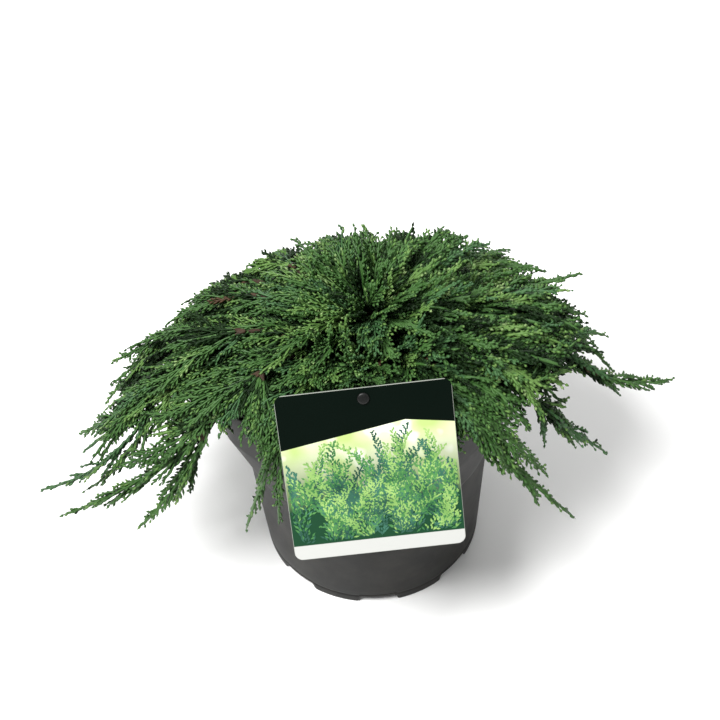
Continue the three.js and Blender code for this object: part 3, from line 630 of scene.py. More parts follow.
# The root flare's ridges, as a share of its radius
def ridgeShare(rise, turn):
    return 1 + stem["ridge"] * np.exp(-rise / stem["flareHeight"]) * np.cos(stem["ridges"] * turn + 1)


# The stem's middle line leans to the right with the square of its rise
def stemMiddle(rise):
    rise = np.asarray(rise, float)
    foot = soil["crown"] + shoot["gap"]
    return np.stack([stem["lean"] * (rise / stem["height"]) ** 2, 0 * rise, foot + rise], -1)


# Centripetal Catmull-Rom curve through points, at shares of its way: each span is a cubic
# whose end slopes come from its neighbours, spaced by the square root of their distances
def curveThrough(points, shares):
    knots = np.vstack([2 * points[0] - points[1], points, 2 * points[-1] - points[-2]])
    spans = len(points) - 1
    i = np.minimum((shares * spans).astype(int), spans - 1)
    t = (shares * spans - i)[:, None]
    a, b, c, d = knots[i], knots[i + 1], knots[i + 2], knots[i + 3]
    ab, bc, cd = [np.linalg.norm(v - u, axis=1, keepdims=True) ** 0.5 for u, v in ((a, b), (b, c), (c, d))]
    slopeB = ((b - a) / ab - (c - a) / (ab + bc) + (c - b) / bc) * bc
    slopeC = ((c - b) / bc - (d - b) / (bc + cd) + (d - c) / cd) * bc
    squared = 3 * (c - b) - 2 * slopeB - slopeC
    cubed = 2 * (b - c) + slopeB + slopeC
    return b + slopeB * t + squared * t ** 2 + cubed * t ** 3


# Even angles from a tier's first bough to its last
def tierAngles(tier):
    return blend(tier["from"], tier["to"], np.arange(tier["count"]) / (tier["count"] - 1))


# Where a tier's boughs end at an angle. The skirt's end some share of the way out, and lower the
# further they go past their bend.
def boughTip(tierName, angle):
    tier, back = crown[tierName], backShare(angle)
    if tierName == "skirt":
        bendReach, bendHeight, backDrop = tier["bend"]
        tipReach = max(tier["leastTip"], tier["tipShare"] * skirtEnd(angle)[0])
        drop = (tipReach - bendReach) * blend(*tier["tipSlope"], back) + backDrop * back
        return around(tipReach, angle, bendHeight - drop)
    tipReach, tipHeight, backDrop = tier["tip"]
    return around(tipReach, angle, tipHeight - backDrop * back)


# A bough leaves the stem level, climbs to its bend and ends where its foliage starts
def boughPath(tierName, angle, index):
    tier = crown[tierName]
    rise = tier["rootHeight"] + (index % 2) * bough["rootStep"]
    root = stemMiddle(rise) + around(stemRadius(rise) + shoot["gap"], angle, 0)
    bendReach, bendHeight, backDrop = tier["bend"]
    levelEnd = math.hypot(root[0], root[1]) + bough["levelReach"]
    knots = np.stack([
        root,
        root + around(bough["levelReach"], angle, bough["levelRise"]),
        around(blend(levelEnd, bendReach, bough["midShare"]), angle + bough["sway"],
               blend(root[2], bendHeight, bough["midClimb"])),
        around(bendReach, angle - bough["sway"], bendHeight - backDrop * backShare(angle)),
        boughTip(tierName, angle),
    ])
    path = curveThrough(knots, np.linspace(0, 1, bough["rows"] - 3))
    return path, unit(path[-1] - path[-2])


# The boughs' paths and radii, and the masses of foliage: each one's tier and angle, where its
# stem forks, which way it heads there, and its limb
def growBoughs():
    masses, paths, radii = [], [], []
    for tierName in ("skirt", "shoulder", "front"):
        tier = crown[tierName]
        for index, angle in enumerate(tierAngles(tier)):
            path, heading = boughPath(tierName, angle, index)
            fork = path[-1] + heading * (shoot["gap"] + shoot["stalkLength"])
            # the limb starts inside the stem and runs on along the mass's own stalk to its fork
            inside = path[0] - around(bough["rootSink"] * stemRadius(tier["rootHeight"]), angle, 0)
            paths.append(np.vstack([inside, path, blend(path[-1], fork, 0.5), fork]))
            taper = np.linspace(tier["rootRadius"] * bough["rootSwell"], tier["tipRadius"], bough["rows"] - 2)
            radii.append(np.append(taper, [tier["tipRadius"], shoot["rootRadius"]]))
            masses.append({"name": f"foliage_{tierName}_{index + 1}", "tier": tierName, "angle": angle,
                           "fork": fork, "heading": heading, "limb": paths[-1]})
    rise = crown["top"]["rootHeight"]
    for index, angle in enumerate(tierAngles(crown["top"])):
        heading = unit(around(1, angle, crown["top"]["climb"]))
        fork = stemMiddle(rise) + around(stemRadius(rise), angle, 0) + heading * shoot["stalkLength"]
        masses.append({"name": f"foliage_top_{index + 1}", "tier": "top", "angle": angle,
                       "fork": fork, "heading": heading})
    upright = np.array([0.0, 0, 1])
    masses.append({"name": "foliage_crest", "tier": "crest", "angle": 90,
                   "fork": stemMiddle(stem["height"]) + upright * shoot["stalkLength"],
                   "heading": upright})
    return masses, np.array(paths), np.array(radii)


masses, boughPaths, boughRadii = growBoughs()
massNumber = {mass["name"]: index for index, mass in enumerate(masses)}


# Repeatable random numbers from 0 to 1, as the solids' rule draws them
def makeRandom(seed):
    state = seed
    while True:
        state = (state * 1664525 + 1013904223) % 4294967296
        yield state / 4294967296


# The main leaders of a mass: tips spread over its fan
def mainTips(mass, seed):
    draw = makeRandom(seed)
    tier = crown[mass["tier"]]
    count = tier["backShoots"] if backShare(mass["angle"]) > shoot["backFrom"] else tier["shoots"]
    tips = []
    for i in range(count):
        share = 2 * i / (count - 1) - 1
        angle = mass["angle"] + tier["fan"] * 0.5 * share + shoot["angle"] * (next(draw) - 0.5)
        spread = 1 - shoot["lift"] + 2 * shoot["lift"] * next(draw)
        lift = (i % 2) * tier["lift"] * (1 - shoot["backFlat"] * backShare(angle)) * spread
        reach, height = endOf[mass["tier"]](angle)
        reach = reach * (1 - shoot["reach"] * next(draw)) - shoot["liftLoss"] * lift
        tips.append(around(reach, angle, height + lift))
    return np.array(tips)


# Side shoots between the main leaders: how many a mass has, how wide they fan, how near and far
# they end as a share of its main reach, how deep under the crown's skin they may lie, and from
# which share of its limb on they spring
filling = {
    "skirt": {"count": 32, "fan": 30, "near": 0.47, "far": 0.84, "depth": 34, "from": 0.42},
    "shoulder": {"count": 29, "fan": 36, "near": 0.44, "far": 0.98, "depth": 30, "from": 0.35},
    "front": {"count": 26, "fan": 52, "near": 0.34, "far": 1.08, "depth": 24, "from": 0.25},
    "top": {"count": 18, "fan": 84, "near": 0.4, "far": 1.3, "depth": 22, "from": 0.0},
    "crest": {"count": 44, "fan": 360, "near": 0.25, "far": 2.1, "depth": 18, "from": 0.0},
}
sideShoot = {
    "least": 20, "upward": 0.35, "outward": 0.6, "scatter": 0.25, "extension": 9, "swing": 0.7,
}
# Plumes: the long ones that hang over the pot's rim beside the card and at the crown's low
# corners, and small ones along its outline. Each starts at its mass's fork; then come the arch's
# middle and its tip, each as a reach, an angle and a height.
plumes = [
    ("foliage_front_1", [
        ((128, 241, 246), (133, 224, 114)), ((124, 240, 250), (128, 238, 142)),
        ((112, 235, 238), (119, 231, 190)), ((104, 240, 236), (112, 238, 212)),
        ((100, 228, 240), (116, 224, 210)), ((96, 234, 240), (110, 230, 218))]),
    ("foliage_skirt_11", [
        ((180, 206, 160), (246, 197, 122)), ((156, 212, 166), (197, 206, 118)),
        ((150, 212, 174), (176, 206, 126)), ((164, 208, 176), (214, 200, 132)),
        ((148, 203, 204), (168, 200, 176))]),
    ("foliage_skirt_10", [
        ((190, 199, 157), (260, 190, 120)), ((178, 200, 168), (226, 193, 122)),
        ((186, 190, 178), (224, 184, 126))]),
    ("foliage_skirt_9", [((160, 170, 204), (199, 171, 175))]),
    ("foliage_shoulder_8", [((130, 172, 232), (187, 169, 185))]),
    ("foliage_shoulder_9", [
        ((112, 216, 236), (128, 216, 206)), ((106, 222, 236), (121, 223, 209)),
        ((114, 210, 238), (134, 209, 203)), ((100, 226, 236), (114, 228, 215)),
        ((104, 214, 238), (120, 212, 214)), ((98, 219, 238), (112, 219, 219)),
        ((106, 226, 234), (119, 227, 208)), ((108, 231, 236), (120, 232, 206))]),
    ("foliage_front_1", [((106, 232, 238), (119, 231, 203))]),
    ("foliage_front_3", [
        ((132, 306, 216), (182, 325, 119)), ((132, 311, 224), (155, 322, 136)),
        ((134, 312, 228), (156, 326, 150)), ((118, 308, 240), (142, 313, 182)),
        ((112, 306, 240), (124, 309, 204)), ((108, 314, 240), (132, 317, 196)),
        ((98, 304, 240), (112, 305, 216)), ((102, 312, 240), (118, 314, 210)),
        ((116, 322, 240), (140, 325, 196)), ((104, 302, 236), (116, 303, 200))]),
    ("foliage_skirt_1", [
        ((150, 340, 168), (190, 346, 118)), ((148, 336, 190), (170, 339, 148)),
        ((142, 335, 184), (144, 335, 150)), ((150, 340, 186), (160, 343, 150)),
        ((150, 338, 176), (165, 342, 134)), ((146, 338, 188), (152, 339, 156))]),
    ("foliage_skirt_2", [
        ((190, 356, 150), (252, 5, 123)), ((178, 358, 168), (208, 3, 132)),
        ((160, 4, 206), (194, 7, 175))]),
    ("foliage_shoulder_2", [((130, 15, 226), (183, 18, 214)), ((120, 8, 236), (178, 9, 195))]),
    ("foliage_crest", [((34, 62, 280), (80, 60, 256)), ((32, 46, 282), (78, 46, 260))]),
    ("foliage_top_1", [
        ((66, 44, 272), (102, 46, 251)), ((70, 36, 272), (108, 38, 250)),
        ((70, 40, 268), (104, 42, 249)), ((74, 32, 268), (120, 32, 243))]),
]
# how far round the main leaders of some masses are turned, and which share of them is kept;
# behind on the left, between two angles, the skirt ends a little sooner
turned = {
    "foliage_skirt_11": (-9, 0.86), "foliage_skirt_1": (9, 0.74), "foliage_skirt_8": (0, 0.93),
    "foliage_shoulder_6": (0, 0.92), "foliage_shoulder_7": (0, 0.82), "foliage_shoulder_8": (0, 0.92),
}
backLeft = {"from": 140, "to": 190, "kept": 0.86}
leafRandom = np.random.default_rng(5)


# How far round a mass's main leaders are turned, and which share of their length is kept
def turnOf(mass):
    swing, share = turned.get(mass["name"], (0, 1))
    if mass["tier"] == "skirt" and backLeft["from"] < mass["angle"] < backLeft["to"]:
        share = backLeft["kept"]
    return swing, share


# Roots, headings, tips and depths of a mass's side shoots: they spring from points along its
# limb, or from its own stalk, and end under the crown's skin
def sideShoots(mass):
    rule = filling[mass["tier"]]
    count = rule["count"]
    u, v, w, x = leafRandom.random((4, count))
    swing = turnOf(mass)[0] * sideShoot["swing"]
    angle = mass["angle"] + swing + rule["fan"] * ((np.arange(count) + u) / count - 0.5)
    if "limb" in mass:
        place = blend(rule["from"], 1, x) * (len(mass["limb"]) - 2)
        first = place.astype(int)
        near, far = mass["limb"][first], mass["limb"][first + 1]
        root = blend(near, far, (place - first)[:, None])
        heading = unit(far - near)
    else:
        root = np.tile(mass["fork"], (count, 1)) - mass["heading"] * (shoot["stalkLength"] * x)[:, None]
        heading = np.tile(mass["heading"], (count, 1))
    outward = sideShoot["outward"] * around(1, angle, sideShoot["upward"])
    heading = unit(heading + outward + leafRandom.normal(0, sideShoot["scatter"], (count, 3)))
    reach = endOf[mass["tier"]](angle)[0] * blend(rule["near"], rule["far"], np.sqrt(v))
    reach = np.maximum(reach, np.hypot(root[:, 0], root[:, 1]) + sideShoot["least"] * u)
    depth = rule["depth"] * w ** 2
    return root, heading, around(reach, angle, domeHeight(reach, angle) - depth), depth


# All leaders as arches: where each starts, its middle and its tip, its mass, how deep it lies
# and whether it is a plume
def growLeaders():
    rows = {"v0": [], "v1": [], "v2": [], "mass": [], "depth": []}

    # appends the arches of one mass
    def add(start, middle, tip, index, depth):
        for key, value in zip(rows, (start, middle, tip, np.full(len(tip), index), depth)):
            rows[key].append(value)

    for index, mass in enumerate(masses):
        main = mainTips(mass, shoot["firstSeed"] + index)
        swing, share = turnOf(mass)
        angle = np.arctan2(main[:, 1], main[:, 0]) / degrees + swing
        main = blend(mass["fork"], around(np.hypot(main[:, 0], main[:, 1]), angle, main[:, 2]), share)
        main = main + unit(main - mass["fork"]) * sideShoot["extension"]
        root, heading, tip, depth = sideShoots(mass)
        start = np.vstack([np.tile(mass["fork"], (len(main), 1)), root])
        heading = np.vstack([np.tile(mass["heading"], (len(main), 1)), heading])
        tip = np.vstack([main, tip])
        straight = np.linalg.norm(tip - start, axis=1, keepdims=True) * shoot["straightShare"]
        middle = blend(start + heading * straight, tip, shoot["bendPull"])
        add(start, middle, tip, index, np.append(np.zeros(len(main)), depth))
    shootCount = sum(len(tip) for tip in rows["v2"])
    for name, arches in plumes:
        index = massNumber[name]
        middle, tip = [np.array([around(*arch[end]) for arch in arches]) for end in (0, 1)]
        add(np.tile(masses[index]["fork"], (len(arches), 1)), middle, tip, index, np.zeros(len(arches)))
    grown = {key: np.concatenate(value) for key, value in rows.items()}
    grown["plume"] = np.arange(len(grown["mass"])) >= shootCount
    return grown


# Places on quadratic arches at shares of their way: (1 - t)^2 v0 + 2t(1 - t) v1 + t^2 v2
def archPoint(v0, v1, v2, t):
    return (1 - t) ** 2 * v0 + 2 * t * (1 - t) * v1 + t ** 2 * v2


# The slope of the same arches, as unit vectors
def archWay(v0, v1, v2, t):
    return unit((1 - t) * (v1 - v0) + t * (v2 - v1) + 1e-9)


card = {
    "width": 120, "height": 122, "thickness": 1.2, "corner": 6, "lean": 30, "spin": 2.6,
    "middle": np.array([1, -109.5, 200.6]), "behind": 2.6, "holeRadius": 3.2, "holeBelowTop": 7.6,
    "edgeRound": 0.35, "edgeRows": 7, "faceRows": (0.02, 0.3, 0.6, 0.85), "columns": 240,
}
spin, lean = card["spin"] * degrees, card["lean"] * degrees
# the card's own axes: turned in its plane by its spin, then leaned back about +X
cardRight = np.array([math.cos(spin), math.sin(spin) * math.sin(lean), math.sin(spin) * math.cos(lean)])
cardOut = np.array([0, -math.cos(lean), math.sin(lean)])
cardUp = np.cross(cardOut, cardRight)


groundGap = 2


# Whether points keep clear of the pot, the soil and the card by a margin, and off the ground
def isClear(points, margin):
    x, y, z = points[..., 0], points[..., 1], points[..., 2]
    reach = np.hypot(x, y)
    wall = wallRadius(z, np.arctan2(y, x))
    level = (z < pot["height"] + margin) & (reach < wall + margin)
    inPot = (reach < wall - pot["wall"] - margin) & (z > soil["crown"] + margin)
    offset = points - card["middle"]
    onCard = np.abs(offset @ cardRight) < card["width"] / 2 + margin
    onCard &= np.abs(offset @ cardUp) < card["height"] / 2 + margin
    onCard &= offset @ cardOut > -card["behind"] - margin
    return (~level | inPot) & ~onCard & (z > groundGap)


# What is left out: beside the pot, in front on the left and on the right, only the plumes hang
# down; and at the low left corner sky shows between them, so few side shoots reach past them
thinning = {
    "margin": 3.0, "steps": 24, "leastShare": 0.3, "beside": ((205, 232), (318, 347)),
    "besideHeight": 196, "corner": (182, 206), "cornerReach": 158, "cornerHeight": 180,
    "cornerShare": 0.66,
}
archShares = np.linspace(0, 1, thinning["steps"] + 1)[None, :, None]


# Each leader ends where it would first touch something, and those that are too short then, or
# stand where they are thinned out, are dropped
def trimLeaders(grown):
    v0, v1, v2, isPlume = grown["v0"], grown["v1"], grown["v2"], grown["plume"]
    samples = archPoint(v0[:, None], v1[:, None], v2[:, None], archShares)
    freeCount = np.cumprod(isClear(samples, thinning["margin"]), axis=1).sum(1)
    cut = np.clip((freeCount - 1) / thinning["steps"], 0, 1)[:, None]
    tipAngle = np.arctan2(v2[:, 1], v2[:, 0]) / degrees % 360
    tipReach, tipHeight = np.hypot(v2[:, 0], v2[:, 1]), v2[:, 2]
    beside = np.any([(tipAngle > low) & (tipAngle < high) for low, high in thinning["beside"]], axis=0)
    beside &= tipHeight < thinning["besideHeight"]
    low, high = thinning["corner"]
    corner = (tipAngle > low) & (tipAngle <= high) & (tipReach > thinning["cornerReach"])
    corner &= tipHeight < thinning["cornerHeight"]
    corner &= leafRandom.random(len(tipAngle)) < thinning["cornerShare"]
    kept = (cut[:, 0] > thinning["leastShare"]) & ~((beside | corner) & ~isPlume)
    trimmed = {**grown, "v1": blend(v0, v1, cut), "v2": archPoint(v0, v1, v2, cut)}
    return {key: value[kept] for key, value in trimmed.items()}


leaders = trimLeaders(growLeaders())
leaderCount = len(leaders["mass"])
print("leaders", leaderCount)


# Tubes: every limb, twig and leaf cord

# What a path's sides are measured from: upwards, or to the right where the path is steep
def referenceFor(chord):
    steep = np.abs(chord[:, 2:3]) > 0.8
    return np.where(steep, np.array([1.0, 0, 0]), np.array([0, 0, 1.0]))


# Closed tubes along many paths at once. A ring point is the path's point plus its radius times
# (side cos t + above sin t); each end closes in a fan to a pole.
def tubes(paths, radii, sides, starts, ends):
    count, rows = paths.shape[:2]
    reference = referenceFor(unit(ends - starts))[:, None]
    line = np.concatenate([starts[:, None], paths, ends[:, None]], 1)
    along = unit(line[:, 2:] - line[:, :-2])
    side = unit(np.cross(along, reference))
    above = np.cross(side, along)
    turn = ringTurns(sides)
    radii = radii if radii.ndim == 3 else radii[..., None]
    ring = side[:, :, None] * np.cos(turn)[:, None] + above[:, :, None] * np.sin(turn)[:, None]
    skin = paths[:, :, None] + ring * radii[..., None]
    places = np.concatenate([skin.reshape(count, -1, 3), starts[:, None], ends[:, None]], 1)
    faces = [repeatFaces(some, count, rows * sides + 2) for some in closedSkin(rows, sides)]
    return places.reshape(-1, 3), [np.flip(f, 1) for f in faces]


# Stem and boughs

# waves of the bark's fibres: height, count round the limb, drift along it, share of the phase;
# and its knots: height, waves for each row, count round the limb
fibre = {"waves": ((1, 5, 0.35, 1), (0.7, 9, -0.22, 2)), "knots": (0.8, 0.9, 2), "phaseStep": 1.7,
         "stemPhase": 0.4}


# Bark relief: long fibres, as waves round the limb that drift along it, and knots
def fibreRelief(row, turn, phase, strength):
    waves = sum(height * np.sin(count * turn + drift * row + shift * phase)
                for height, count, drift, shift in fibre["waves"])
    height, perRow, count = fibre["knots"]
    knots = height * np.sin(perRow * row + phase) * np.cos(count * turn + phase)
    return 1 + strength * (waves + knots)


# Boughs as tubes whose radii taper and swell with the bark, and the stem as rings round its
# middle line
def buildLimbs(material):
    paths = boughPaths[:, 1:-1]
    row = np.arange(paths.shape[1])[None, :, None]
    phase = np.arange(len(paths))[:, None, None] * fibre["phaseStep"]
    relief = fibreRelief(row, ringTurns(bough["sides"])[None, None], phase, bough["fibres"])
    radii = boughRadii[:, :paths.shape[1], None] * relief
    limbs = tubes(paths, radii, bough["sides"], boughPaths[:, 0], boughPaths[:, -1])
    rise = np.linspace(0, stem["height"], stem["rows"])[:, None]
    turn = ringTurns(stem["sides"])[None]
    relief = fibreRelief(rise, turn, fibre["stemPhase"], stem["fibres"])
    reach = stemRadius(rise) * ridgeShare(rise, turn) * relief
    rounding = smoothStep(stem["height"] - stem["topRound"], stem["height"], rise) ** 2
    reach = reach * (1 - stem["topTaper"] * rounding)
    out = np.stack([np.cos(turn) + 0 * rise, np.sin(turn) + 0 * rise, 0 * reach], -1)
    skin = stemMiddle(rise) + out * reach[..., None]
    trunk = closedLathe(skin, stemMiddle(0.0), stemMiddle(stem["height"]) + [0, 0, stem["topRise"]])
    places, faces = joinSets([limbs, trunk])
    return addMesh("stem_and_boughs", places, faces, [material])


bark = makeFinish(
    "bark", rgb(40, 30, 22), rgb(66, 50, 38), (0.75, 0.95),
    {"Scale": 90.0, "Detail": 6.0, "Low": 0.35, "High": 0.7},
    {"Scale": 500.0, "Stretch": (1, 1, 0.25), "Height": 0.0009, "Strength": 0.7}, specular=0.25)
limbPiece = buildLimbs(bark)
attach(limbPiece, "root")
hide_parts("stem", *[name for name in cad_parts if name.startswith("bough_")])
print("limbs built")

# Twigs: the bare inner part of each leader
twig = {"share": 0.13, "rows": 6, "sides": 6, "radius": 1.25, "tipRadius": 0.9, "uneven": (0.88, 1.15)}


# Each twig follows the first share of its leader's arch, with slightly uneven rings
def buildTwigs(material):
    t = np.linspace(0, twig["share"], twig["rows"] + 2)[None, :, None]
    path = archPoint(leaders["v0"][:, None], leaders["v1"][:, None], leaders["v2"][:, None], t)
    radii = np.tile(np.linspace(twig["radius"], twig["tipRadius"], twig["rows"]), (leaderCount, 1))
    radii = radii * leafRandom.uniform(*twig["uneven"], radii.shape)
    places, faces = tubes(path[:, 1:-1], radii, twig["sides"], path[:, 0], path[:, -1])
    return addMesh("twigs", places, faces, [material])


twigBark = makeFinish(
    "twigBark", rgb(44, 32, 22), rgb(70, 51, 35), (0.6, 0.85),
    {"Scale": 120.0, "Detail": 4.0, "Low": 0.3, "High": 0.7},
    {"Scale": 800.0, "Height": 0.0004, "Strength": 0.5}, specular=0.3)
twigPiece = buildTwigs(twigBark)
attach(twigPiece, "root")
print("twigs built")


# Foliage: flat sprays of blunt scale-leaf cords

# a leader carries branchlets to both sides, and each of these carries cords. Steps are the
# distances between them; taper, slimTaper and slimBend say how long branchlets are for what
# remains of their leader.
leaf = {
    "bareShare": 0.07, "branchStep": 4.4, "branchAngle": 26, "branchSpread": 8, "branchMost": 27,
    "branchLeast": 3.6, "taper": 0.44, "slimTaper": 0.25, "slimBend": 0.0012, "slimHeight": 180,
    "slimReach": 170, "rise": 0.4, "riseRate": 2.6, "lean": 0.2, "out": 0.04, "droop": 0.08,
    "roll": 0.9, "uneven": (0.72, 1.12), "jitter": 0.3, "along": 0.4, "leastCount": 3,
    "cordStep": 2.6, "cordAngle": 25, "cordMost": 7.4, "cordLeast": 3.4, "cordTaper": 0.45,
    "cordRadius": 1.22, "cordTilt": 0.5, "cordFrom": 0.1, "cordSpan": 0.88, "cordBare": 2.5,
    "cordJitter": 0.25, "cordUneven": (0.75, 1.2), "cordThick": (0.85, 1.1), "cordClear": 0.6,
    "skinShare": 0.06, "skinStep": 6.5, "skinRows": (4, 32), "stemRadius": 1.5, "stemTip": 1.4,
    "axisRows": 4, "shortAxis": 9, "axisSwell": 1.1, "beads": 0.3, "beadUneven": (0.88, 1.12),
    "ring": 0.68, "sides": 3, "clear": 1.4, "pieceTriangles": 190000,
}
# what each spray's green may be, and how often it is dealt out; beyond its own share, the deep green is also
# dealt out as painted shade: deep in the crown, in its lee, and at the feet of branchlets and cords
greens = {
    "deepAndShade": {"first": rgb(17, 33, 14), "second": rgb(30, 52, 23), "share": 0.08, "gloss": 0.12},
    "mid": {"first": rgb(50, 84, 37), "second": rgb(66, 102, 49), "share": 0.54, "gloss": 0.3},
    "fresh": {"first": rgb(74, 109, 50), "second": rgb(97, 130, 66), "share": 0.22, "gloss": 0.3},
    "bluish": {"first": rgb(50, 84, 48), "second": rgb(67, 104, 61), "share": 0.16, "gloss": 0.3},
    "tip": {"first": rgb(102, 131, 76), "second": rgb(132, 156, 100), "share": 0.0, "gloss": 0.3},
    "brown": {"first": rgb(58, 43, 29), "second": rgb(80, 60, 42), "share": 0.0, "gloss": 0.2},
}
deepAndShade, mid, fresh, tipGreen, brown = [
    list(greens).index(name) for name in ("deepAndShade", "mid", "fresh", "tip", "brown")]
# how the greens change: painted shade in the deep green for a leader deep under the skin and at the front
# right, away from the light; then along its branchlets, with painted shade at their feet, and along their
# cords, with lighter ends and painted shade at their feet
shading = {
    "depth": (3, 22), "lee": 0.22, "leeRight": (20, 90), "leeBack": (20, 80), "strayMid": 0.06,
    "strayFresh": 0.96, "shadeFoot": 0.3, "shadeChance": 0.55, "brownFoot": 0.35, "brownChance": 0.014,
    "sameLuck": 0.8, "ripe": 0.05, "ripeMore": 0.5, "ripeShare": (0.55, 0.9), "cordShadeFoot": 0.35,
    "cordShadeLuck": 0.72,
}
sprayRandom = np.random.default_rng(23)


# Splits rows of counts into one row each: the owner's number and the place within its run
def dealOut(counts):
    owner = np.repeat(np.arange(len(counts)), counts)
    order = np.arange(len(owner)) - np.repeat(np.cumsum(counts) - counts, counts)
    return owner, order


# 1 and -1 by turns: left and right of a shoot
def handOf(order):
    return np.where(order % 2 == 0, 1.0, -1.0)


# A curve's own directions: out of the spray's plane and to its left, turned by the spray's roll
def sprayFrame(along, chord, roll):
    upright = referenceFor(chord)
    out = unit(upright - along * np.sum(along * upright, 1, keepdims=True))
    left = np.cross(out, along)
    c, s = np.cos(roll)[:, None], np.sin(roll)[:, None]
    return out * c + left * s, left * c - out * s


# Deals each leader its green by the shares; those deep under the skin and in the lee often get the deep green
# as painted shade, and the plumes are of the common greens
def dealGreens():
    weights = np.array([tint["share"] for tint in greens.values()])
    green = sprayRandom.choice(len(greens), leaderCount, p=weights)
    tip = leaders["v2"]
    lee = smoothStep(*shading["leeRight"], tip[:, 0]) * (1 - smoothStep(*shading["leeBack"], tip[:, 1]))
    paintedShade = smoothStep(*shading["depth"], leaders["depth"]) + shading["lee"] * lee
    green = np.where(sprayRandom.random(leaderCount) < paintedShade, deepAndShade, green)
    return np.where(leaders["plume"] & ((green == deepAndShade) | (green == fresh)), mid, green)


# Branchlets stand to the left and right of their leader in turn, at an angle to it, and curve
# towards its direction. Their length is a share of what remains of their leader, within limits;
# on the hanging plumes, which taper to thinner ends than the dome's sprays, the share is smaller.
# What would touch the pot, the soil or the card isn't grown.
def growBranchlets(leaderLength, leaderRoll):
    v0, v1, v2 = leaders["v0"], leaders["v1"], leaders["v2"]
    bare = leaf["bareShare"]
    counts = np.maximum(leaf["leastCount"], ((1 - bare) * leaderLength / leaf["branchStep"]).astype(int))
    owner, order = dealOut(counts)
    count = len(owner)
    jitter = sprayRandom.uniform(-leaf["jitter"], leaf["jitter"], count)
    share = bare + (1 - bare) * (order + 0.5 + jitter) / (counts[owner] + leaf["jitter"])
    at = share[:, None]
    root = archPoint(v0[owner], v1[owner], v2[owner], at)
    along = archWay(v0[owner], v1[owner], v2[owner], at)
    out, left = sprayFrame(along, unit(v2 - v0)[owner], leaderRoll[owner])
    remaining = (1 - share) * leaderLength[owner]
    skirtMasses = [i for i, mass in enumerate(masses) if mass["tier"] == "skirt"]
    tipReach = np.hypot(v2[:, 0], v2[:, 1])
    isLow = (v2[:, 2] < leaf["slimHeight"]) | (tipReach > leaf["slimReach"])
    slim = (np.isin(leaders["mass"], skirtMasses) | (leaders["plume"] & isLow))[owner]
    slimWidth = leaf["slimTaper"] * remaining + leaf["slimBend"] * remaining ** 2
    width = np.where(slim, slimWidth, leaf["taper"] * remaining)
    length = np.minimum(leaf["branchMost"], width + leaf["branchLeast"])
    growth = np.minimum(1, leaf["rise"] + leaf["riseRate"] * share)
    length *= growth * sprayRandom.uniform(*leaf["uneven"], count)
    angle = (leaf["branchAngle"] + leaf["branchSpread"] * sprayRandom.uniform(-1, 1, count)) * degrees
    way = along * np.cos(angle)[:, None] + left * (handOf(order) * np.sin(angle))[:, None]
    way = unit(way + out * sprayRandom.normal(leaf["out"], leaf["lean"], count)[:, None])
    middle = root + way * (0.5 * length)[:, None]
    end = root + ((1 - leaf["along"]) * way + leaf["along"] * along) * length[:, None]
    end[:, 2] -= leaf["droop"] * length * sprayRandom.random(count)
    free = isClear(root, leaf["clear"]) & isClear(middle, leaf["clear"]) & isClear(end, leaf["clear"])
    grown = {"v0": root, "v1": middle, "v2": end, "owner": owner, "share": share, "length": length,
             "out": out}
    return {key: value[free] for key, value in grown.items()}


# Branchlets have their leader's green. A few stray from it; many near its foot get the deep green as painted
# shade, and one here and there is brown.
def dealBranchGreens(share, green):
    stray = sprayRandom.random(len(share))
    green = np.where(stray < shading["strayMid"], mid, np.where(stray > shading["strayFresh"], fresh, green))
    paintedShade = (share < shading["shadeFoot"]) & (sprayRandom.random(len(share)) < shading["shadeChance"])
    dead = (share < shading["brownFoot"]) & (sprayRandom.random(len(share)) < shading["brownChance"])
    return np.where(dead, brown, np.where(paintedShade, deepAndShade, green))


# Runs along arches as beaded tubes: the rings are evenly spaced and swell by turns. Arches
# differ much in length, so they are skinned in groups of like ring count.
def beadedRuns(arches, startShare, ringCounts, radii, green, mass):
    runs = []
    for rows in np.unique(ringCounts):
        some = ringCounts == rows
        shares = blend(startShare, 1.0, np.linspace(0, 1, rows + 2))[None, :, None]
        path = archPoint(*[arches[end][some][:, None] for end in ("v0", "v1", "v2")], shares)
        bead = np.where(np.arange(rows) % 2 == 0, 1.0, 1 - leaf["beads"]) * np.linspace(*radii, rows)
        size = bead[None] * sprayRandom.uniform(*leaf["beadUneven"], (len(path), 1))
        runs.append((path[:, 1:-1], size, path[:, 0], path[:, -1], green[some], mass[some]))
    return runs
